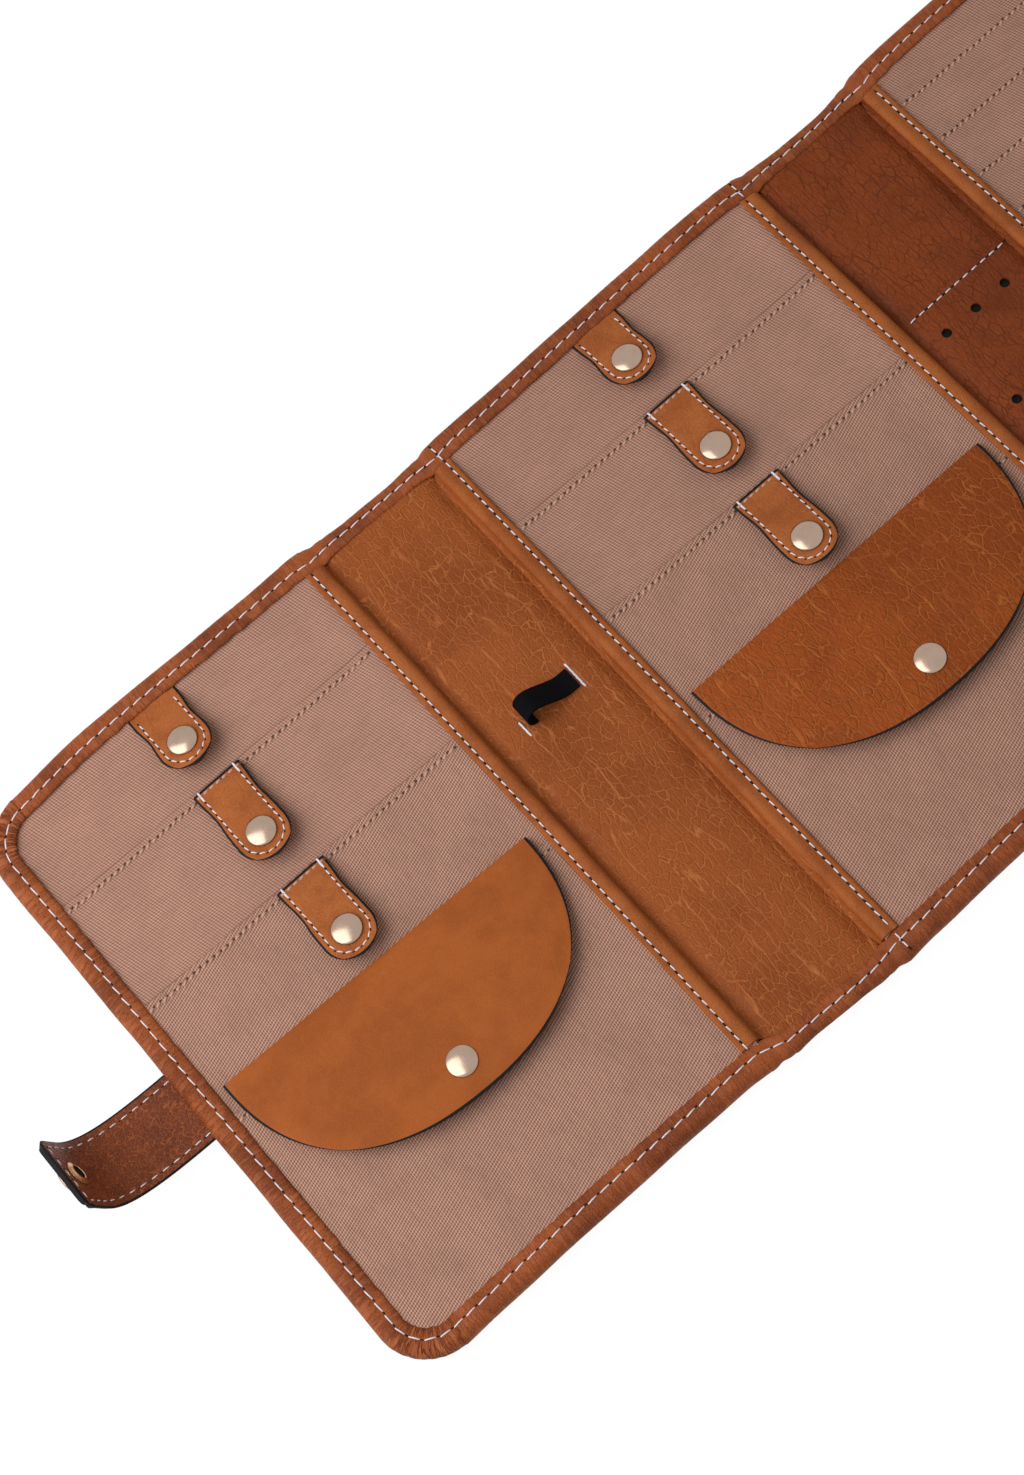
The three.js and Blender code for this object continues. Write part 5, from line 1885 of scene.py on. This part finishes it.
@dataclass
class Crease:
    """The leather and binding that bend where a spine meets a panel."""

    name: str
    panel: str
    spine: str
    x: float
    to_spine: int
    skin: Finish = Finish.SPINE

    TURN = 2.6
    VALLEY: tuple[Spot, ...] = (
        (-0.85, 6.0), (-0.55, 5.1), (-0.2, 4.3), (0.3, 3.75), (1.0, 3.5), (1.8, 3.7), (2.6, 4.1),
        (3.2, 4.35),
    )

    def blend(self, piece: Piece, near: float = TURN, far: float = TURN) -> None:
        """Bakes a piece's place into its mesh and logs the panel and spine that it lies between."""
        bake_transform(piece)
        LOG.info("%s bends from %s to %s", piece.name, self.panel, self.spine)

    def build(self) -> None:
        """Builds the outer leather, the valley and both ends of the binding."""
        self.outer_leather()
        self.valley()
        for end, word in ENDS:
            self.binding(end, word)

    def valley(self) -> None:
        """Sweeps the soft leather that sinks from the piping to the spine."""
        edge, thick = SIZES.cover_edge, 0.5
        below = [(away, z - thick) for away, z in reversed(self.VALLEY)]
        section = [at(self.x + self.to_spine * away, -edge, z) for away, z in [*self.VALLEY, *below]]
        piece = Bench.sweep(f"{self.name}_valley", section, at(0, 2 * edge), 2.5)
        reshape(piece, lambda x, y, z: (x, y + stray(x, y), z + 0.15 * drift(x, y * 0.3, 4.0, self.x)))
        Bench.soften(piece, 70)
        dress(piece, self.skin)
        self.blend(piece, 0.5, 2.4)

    def outer_leather(self) -> None:
        """Sweeps the outer leather along the crease, stepping up to the spine."""
        reach, edge = SIZES.crease_reach, SIZES.cover_edge
        away = [reach * step / 8 for step in range(-8, 9)]
        share = [ramp(-0.7 * reach, 0.7 * reach, step) for step in away]
        low = [(step, 0.15 + rise * (SIZES.spine_cover_low - 0.15)) for step, rise in zip(away, share)]
        high = [(step, SIZES.cover_top + rise * 1.6) for step, rise in zip(away, share)]
        section = [at(self.x + self.to_spine * step, -edge, z) for step, z in [*low, *reversed(high)]]
        piece = Bench.sweep(f"{self.name}_leather", section, at(0, 2 * edge), 3.0)
        reshape(piece, lambda x, y, z: (x, y + stray(x, y), z))
        Bench.soften(piece)
        dress(piece, Finish.COVER)
        self.blend(piece)

    def binding(self, end: int, word: str) -> None:
        """Bridges the binding from the panel's end to the spine's."""
        reach = SIZES.crease_reach
        loops = []
        sides = ((-reach, PANEL_EDGE, PANEL_SECTION), (reach, SPINE_EDGE, SPINE_SECTION))
        for away, edge, section in sides:
            x = self.x + self.to_spine * away
            Bench.draw([at(*edge.eased(x, end * (edge.outer - depth), z)) for depth, z in section])
            loops.append(Bench.put_down("binding_loop"))
        Bench.join("binding_loops", loops)
        bpy.ops.object.mode_set(mode="EDIT")
        bpy.ops.mesh.select_all(action="SELECT")
        bpy.ops.mesh.bridge_edge_loops(number_cuts=9, interpolation="LINEAR")
        piece = Bench.close(f"{self.name}_binding_{word}")

        def pinched(x: float, y: float, z: float) -> Triple:
            """Pinches the strip where it folds."""
            pinch = bump(0, 1.6, x - self.x)
            top = ramp(SIZES.spine_high - 1.5, SIZES.spine_high + 0.5, z)
            return x, y - end * 0.5 * pinch, z - 0.45 * pinch * top + 0.1 * top * drift(x, y, 2.0, 3.1)

        reshape(piece, pinched)
        Bench.soften(piece)
        dress(piece, Finish.BINDING)
        self.blend(piece)
        y = end * SIZES.stitch_line
        for face in Face:
            seam = Seam(f"{self.name}_binding_{word}_stitches_{face.name.lower()}", Needle.BINDING, 4.0)
            path = []
            for away, edge, _ in sides:
                height = Binding.seam_height(face, edge) - face.value * 0.1
                path.append(at(*edge.eased(self.x + self.to_spine * away, y, height)))
            seam.run(path, UP * face.value, 3)
            self.blend(seam.sew())


@dataclass
class Strap:
    """The closing strap, sewn round its border, with a snap near its end."""

    width: float = 26.2
    thickness: float = 2.6
    base: float = 34.0
    end: float = 21.0
    snap: float = 12.0
    slope: float = 16.0
    rise: float = 78.0
    y: float = SIZES.strap_y
    axis_z: float = 2.6
    root_x: float = -252.7
    bend_reach: float = 11.0
    root: float = 5.0
    skive: float = 1.0
    taper: float = 5.0
    corner: float = 4.0
    border: float = 2.7

    @staticmethod
    def direction(degrees: float) -> Vector:
        """The way along the strap at a slope."""
        angle = math.radians(degrees)
        return Vector((-math.cos(angle), 0, math.sin(angle)))

    @property
    def pivot(self) -> Vector:
        """Where the strap leaves the panel."""
        return at(self.root_x, self.y, self.axis_z)

    @property
    def bend(self) -> Vector:
        """Where the strap turns up."""
        return self.pivot + self.direction(self.slope) * self.base * MM

    @property
    def lifted(self) -> Vector:
        """Where the strap has turned up and runs straight."""
        return self.bend + self.direction(self.rise) * self.bend_reach * 0.8 * MM

    def path(self) -> list[Vector]:
        """The strap's middle line from the panel's edge to its end."""
        start = at(SIZES.left_edge + 1.2, self.y, self.axis_z - 0.2)
        lifted = self.lifted
        tip = self.bend + self.direction(self.rise) * self.end * MM
        low, steep = start + at(-23.3, 0, 0.8), lifted - self.direction(self.rise) * 13 * MM
        sag = interpolate_bezier(start, low, steep, lifted, 34)
        last = [lifted.lerp(tip, step / 8) for step in range(1, 9)]
        return [*sag, *last]

    def frames(self) -> list[tuple[Vector, Vector]]:
        """Points of the middle line with the way its upper face looks."""
        points = self.path()
        found = []
        for index, point in enumerate(points):
            along = points[min(index + 1, len(points) - 1)] - points[max(index - 1, 0)]
            found.append((point, Vector((along.z, 0, -along.x)).normalized() * -1))
        return [(point, face if face.z > 0 or face.x > 0 else -face) for point, face in found]

    def build(self) -> None:
        """Builds the strap's leather, snap and stitches."""
        frames = self.frames()
        split = next(n for n, (point, _) in enumerate(frames) if point.x < self.pivot.x - self.root * MM)
        root = self.leather("strap_root_leather", frames[: split + 1], rounded=False)
        self.blend_root(root)
        main = self.leather("strap_leather", frames[split:], rounded=True)
        label(main, "strap_leather", "strap_base", "strap_end")
        self.blend(main)
        self.fasten()
        self.sew(frames, split)

    def blend_root(self, piece: Piece) -> None:
        """Bakes a piece's place into its mesh and logs that it lies between the panel and the strap's base.
        """
        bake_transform(piece)
        LOG.info("%s bends from left to strap", piece.name)

    def blend(self, piece: Piece) -> None:
        """Bakes a piece's place into its mesh and logs that it lies between the strap's base and its end."""
        start, end = self.bend - self.direction(self.slope) * self.bend_reach * MM, self.lifted
        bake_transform(piece)
        LOG.info("%s bends from strap to strap_tip", piece.name)

    def leather(self, name: str, frames: Frames, rounded: bool) -> Piece:
        """Sweeps the strap's leather across its width, paints its edge and pares it."""
        half = self.thickness * MM / 2
        upper = [point + face * half for point, face in frames]
        Bench.draw([p - at(0, self.width / 2) for p in upper], closed=False)
        Bench.push(at(0, self.width))
        piece = Bench.put_down(name)
        Bench.slice(piece, 1, 1.3)
        tip = frames[-1][0]
        along = (frames[-1][0] - frames[-2][0]).normalized()
        if rounded:
            self.round_tip(piece, tip, along)
        if piece.data.polygons[0].normal.dot(frames[0][1]) < 0:
            piece.data.flip_normals()
        rim = self.edge_band(piece, frames, rounded)
        dress(piece, Finish.STRAP, Finish.EDGE)
        Bench.paint(piece, rim)
        thinned = []
        for vertex in piece.data.vertices:
            side = self.width / 2 - abs(vertex.co.y / MM - self.y)
            back = (tip - vertex.co).dot(along) / MM if rounded else self.width
            thinned.append(self.facing(frames, vertex.co) * self.pared(min(side, back)) * MM)
        Bench.modify(piece, "SOLIDIFY", thickness=self.thickness * MM, offset=-1)
        for number, shift in enumerate(thinned):
            piece.data.vertices[len(thinned) + number].co += shift
        Bench.soften(piece)
        return piece

    def round_tip(self, piece: Piece, tip: Vector, along: Vector) -> None:
        """Rounds the two corners of the strap's end."""
        low, high = (self.y - self.width / 2) * MM, (self.y + self.width / 2) * MM
        corner = self.corner * MM
        for vertex in piece.data.vertices:
            back = (tip - vertex.co).dot(along)
            side = min(vertex.co.y - low, high - vertex.co.y)
            if back < corner and side < corner:
                away = math.hypot(corner - back, corner - side)
                if away > corner:
                    vertex.co -= along * (corner - back) * (1 - corner / away)
                    inward = 1 if vertex.co.y < (low + high) / 2 else -1
                    vertex.co.y += inward * (corner - side) * (1 - corner / away)

    def pared(self, away: float) -> float:
        """How far the strap's outer face is pared away at a distance from its edge."""
        return self.skive * ramp(self.taper, 0.5, away)

    @staticmethod
    def facing(frames: Frames, spot: Vector) -> Vector:
        """The way the strap's upper face looks nearest to a place."""
        return min(frames, key=lambda frame_: (frame_[0].xz - spot.xz).length)[1]

    def edge_band(self, piece: Piece, frames: Frames, rounded: bool) -> set[int]:
        """Narrows and turns down the strap's painted band, and finds its rim."""
        band, turn_down, column = 0.7 * MM, 0.35 * MM, 1.5 * MM
        half = self.width * MM / 2
        corner = self.corner * MM
        rim: set[int] = set()
        tip, along = frames[-1][0], (frames[-1][0] - frames[-2][0]).normalized()
        for vertex in piece.data.vertices:
            across = vertex.co.y - self.y * MM
            away = half - abs(across)
            back = (tip - vertex.co).dot(along)
            at_tip = rounded and back < 0.1 * MM
            from_round = math.hypot(max(0.0, corner - away), max(0.0, corner - back))
            in_corner = rounded and back < corner and away < corner
            if away < 0.01 * MM or at_tip or (in_corner and from_round > corner - 0.02 * MM):
                rim.add(vertex.index)
            elif away < column and not (rounded and back < corner):
                vertex.co.y += math.copysign(away - band, across)
        for number in rim:
            vertex = piece.data.vertices[number]
            vertex.co -= self.facing(frames, vertex.co) * turn_down
        return rim

    def fasten(self) -> None:
        """Sets the snap through the end, cap outwards."""
        along = self.direction(self.rise)
        spot = self.bend + along * self.snap * MM
        outward = Vector((along.z, 0, -along.x)) * -1
        turn = Matrix((along, outward.cross(along), outward)).transposed().to_4x4()
        place = Matrix.Translation(spot + outward * self.thickness * MM / 2) @ turn
        SnapFastener(self.thickness, 0.6).cap("strap_snap_cap", place, "strap_tip", "strap_snap")

    def sew(self, frames: Frames, split: int) -> None:
        """Sews the border on both faces."""
        inset = self.width / 2 - self.border
        for face in Face:
            word = face.name.lower()
            lift = self.thickness / 2 + 0.05 - (self.pared(self.border) if face.value < 0 else 0.0)
            normals = [up * face.value for _, up in frames]
            lifted = [p + up * face.value * lift * MM for p, up in frames]
            rows = [[spot + at(0, side * inset) for spot in lifted] for side in (-1, 1)]
            root = Seam(f"strap_root_stitches_{word}", Needle.STRAP, 3.9)
            seam = Seam(f"strap_stitches_{word}", Needle.STRAP, 3.9)
            for row in rows:
                root.run(row[: split + 1], normals, 4)
                seam.run(row[split:-2], normals[split:], 4)
            seam.run([row[-3] for row in rows], normals[-3], 4)
            self.blend_root(root.sew())
            self.blend(seam.sew())


class Studio:
    """The camera, the light and the pale floor."""

    FOCAL_PX = 3172.0
    LONG_SIDE_PX = 1475.0
    SENSOR = 36.0
    SPOT = (-184.22, -315.94, 898.11)
    RIGHT = (0.751992, -0.636114, -0.172821)
    DOWN = (-0.654117, -0.687716, -0.314924)
    AHEAD = (0.081476, 0.349865, -0.933250)
    LAMP_SPOT = (-620, 160, 600)
    LAMP_AIM = (-120, 0, 0)
    LAMP_SIZE = 900
    LAMP_POWER = 6.8
    SKY_LEVEL = 0.41
    FLOOR_SIZE = 6
    FLOOR_Z = -0.0004
    FLOOR_GLOW = 1.02
    FLOOR_WHITE = 0.94

    def build(self) -> None:
        """Sets the stage."""
        self.camera()
        self.floor()
        self.world()
        self.lamp("key_light", self.LAMP_SPOT, self.LAMP_AIM, self.LAMP_SIZE, self.LAMP_POWER)
        bpy.context.scene.view_settings.view_transform = "Standard"

    def camera(self) -> None:
        """Places the camera where the photograph was taken."""
        Bench.clear()
        bpy.ops.object.camera_add()
        camera = bpy.context.object
        camera.name = "camera"
        columns = (Vector(self.RIGHT), -Vector(self.DOWN), -Vector(self.AHEAD))
        turn = Matrix(columns).transposed().to_4x4()
        camera.matrix_world = Matrix.Translation(at(*self.SPOT)) @ turn
        camera.data.sensor_width = self.SENSOR
        camera.data.lens = self.FOCAL_PX * self.SENSOR / self.LONG_SIDE_PX
        camera.data.clip_start = 0.01
        bpy.context.scene.camera = camera

    def floor(self) -> None:
        """Lays a pale floor that looks white and keeps a faint shadow."""
        Bench.clear()
        bpy.ops.mesh.primitive_plane_add(size=self.FLOOR_SIZE, location=(0, 0, self.FLOOR_Z))
        floor = bpy.context.object
        floor.name = "floor"
        mix = Recipe("floor_white")
        mix.set(Base_Color=(0.9, 0.9, 0.9), Roughness=0.9)
        glow = mix.add("ShaderNodeEmission", {"Color": (1.0, 1.0, 1.0), "Strength": self.FLOOR_GLOW})
        path = mix.add("ShaderNodeLightPath").outputs
        looked_at = mix.maths("MAXIMUM", path["Is Camera Ray"], path["Is Glossy Ray"])
        seen = mix.maths("MULTIPLY", looked_at, self.FLOOR_WHITE)
        join = mix.add("ShaderNodeMixShader", {0: seen, 1: mix.shader.outputs[0], 2: glow.outputs[0]})
        output = mix.tree.nodes["Material Output"]
        mix.feed(output.inputs["Surface"], join.outputs[0])
        floor.data.materials.append(mix.material)

    def world(self) -> None:
        """Lights evenly, and looks white to the camera and in the metal."""
        world = bpy.data.worlds.new("studio")
        bpy.context.scene.world = world
        world.use_nodes = True
        nodes, links = world.node_tree.nodes, world.node_tree.links
        sky = nodes["Background"]
        sky.inputs["Color"].default_value = (1.0, 1.0, 1.0, 1.0)
        path = nodes.new("ShaderNodeLightPath")
        seen = nodes.new("ShaderNodeMath")
        seen.operation = "MAXIMUM"
        links.new(path.outputs["Is Camera Ray"], seen.inputs[0])
        links.new(path.outputs["Is Glossy Ray"], seen.inputs[1])
        level = nodes.new("ShaderNodeMapRange")
        links.new(seen.outputs[0], level.inputs["Value"])
        level.inputs["To Min"].default_value = self.SKY_LEVEL
        level.inputs["To Max"].default_value = 1.0
        links.new(level.outputs["Result"], sky.inputs["Strength"])

    @staticmethod
    def lamp(name: str, spot: Sequence[float], aim: Sequence[float], size: float, power: float) -> None:
        """Adds a soft square lamp.

        Args:
            name: The lamp's name.
            spot: Its place in millimetres.
            aim: The place that it faces.
            size: Its side in millimetres.
            power: Its power in watts.
        """
        Bench.clear()
        bpy.ops.object.light_add(type="AREA", location=at(*spot))
        lamp = bpy.context.object
        lamp.name = name
        lamp.data.energy = power
        lamp.data.shape = "SQUARE"
        lamp.data.size = size * MM
        lamp.rotation_euler = (at(*aim) - at(*spot)).to_track_quat("-Z", "Y").to_euler()


def write_sizes() -> None:
    """Updates the view layer."""
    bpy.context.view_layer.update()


def main() -> None:
    """Builds the case piece by piece."""
    logging.basicConfig(level=logging.INFO, format="%(message)s")
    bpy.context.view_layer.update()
    Studio().build()
    MiddlePanel().build()
    LeftPanel().build()
    RightPanel().build()
    LeftSpine("left_spine", Side.LEFT).build()
    RightSpine("right_spine", Side.RIGHT, Finish.SPINE_DARK).build()
    inner, outer = SIZES.inner_crease, SIZES.outer_crease
    for crease in (
        Crease("crease_left_inner", "middle", "left_spine", -inner, -1),
        Crease("crease_left_outer", "left", "left_spine", -outer, 1),
        Crease("crease_right_inner", "middle", "right_spine", inner, 1, Finish.SPINE_DARK),
        Crease("crease_right_outer", "right", "right_spine", outer, -1, Finish.SPINE_DARK),
    ):
        crease.build()
    Strap().build()
    Bench.clear()
    write_sizes()


if __name__ == "__main__":
    main()
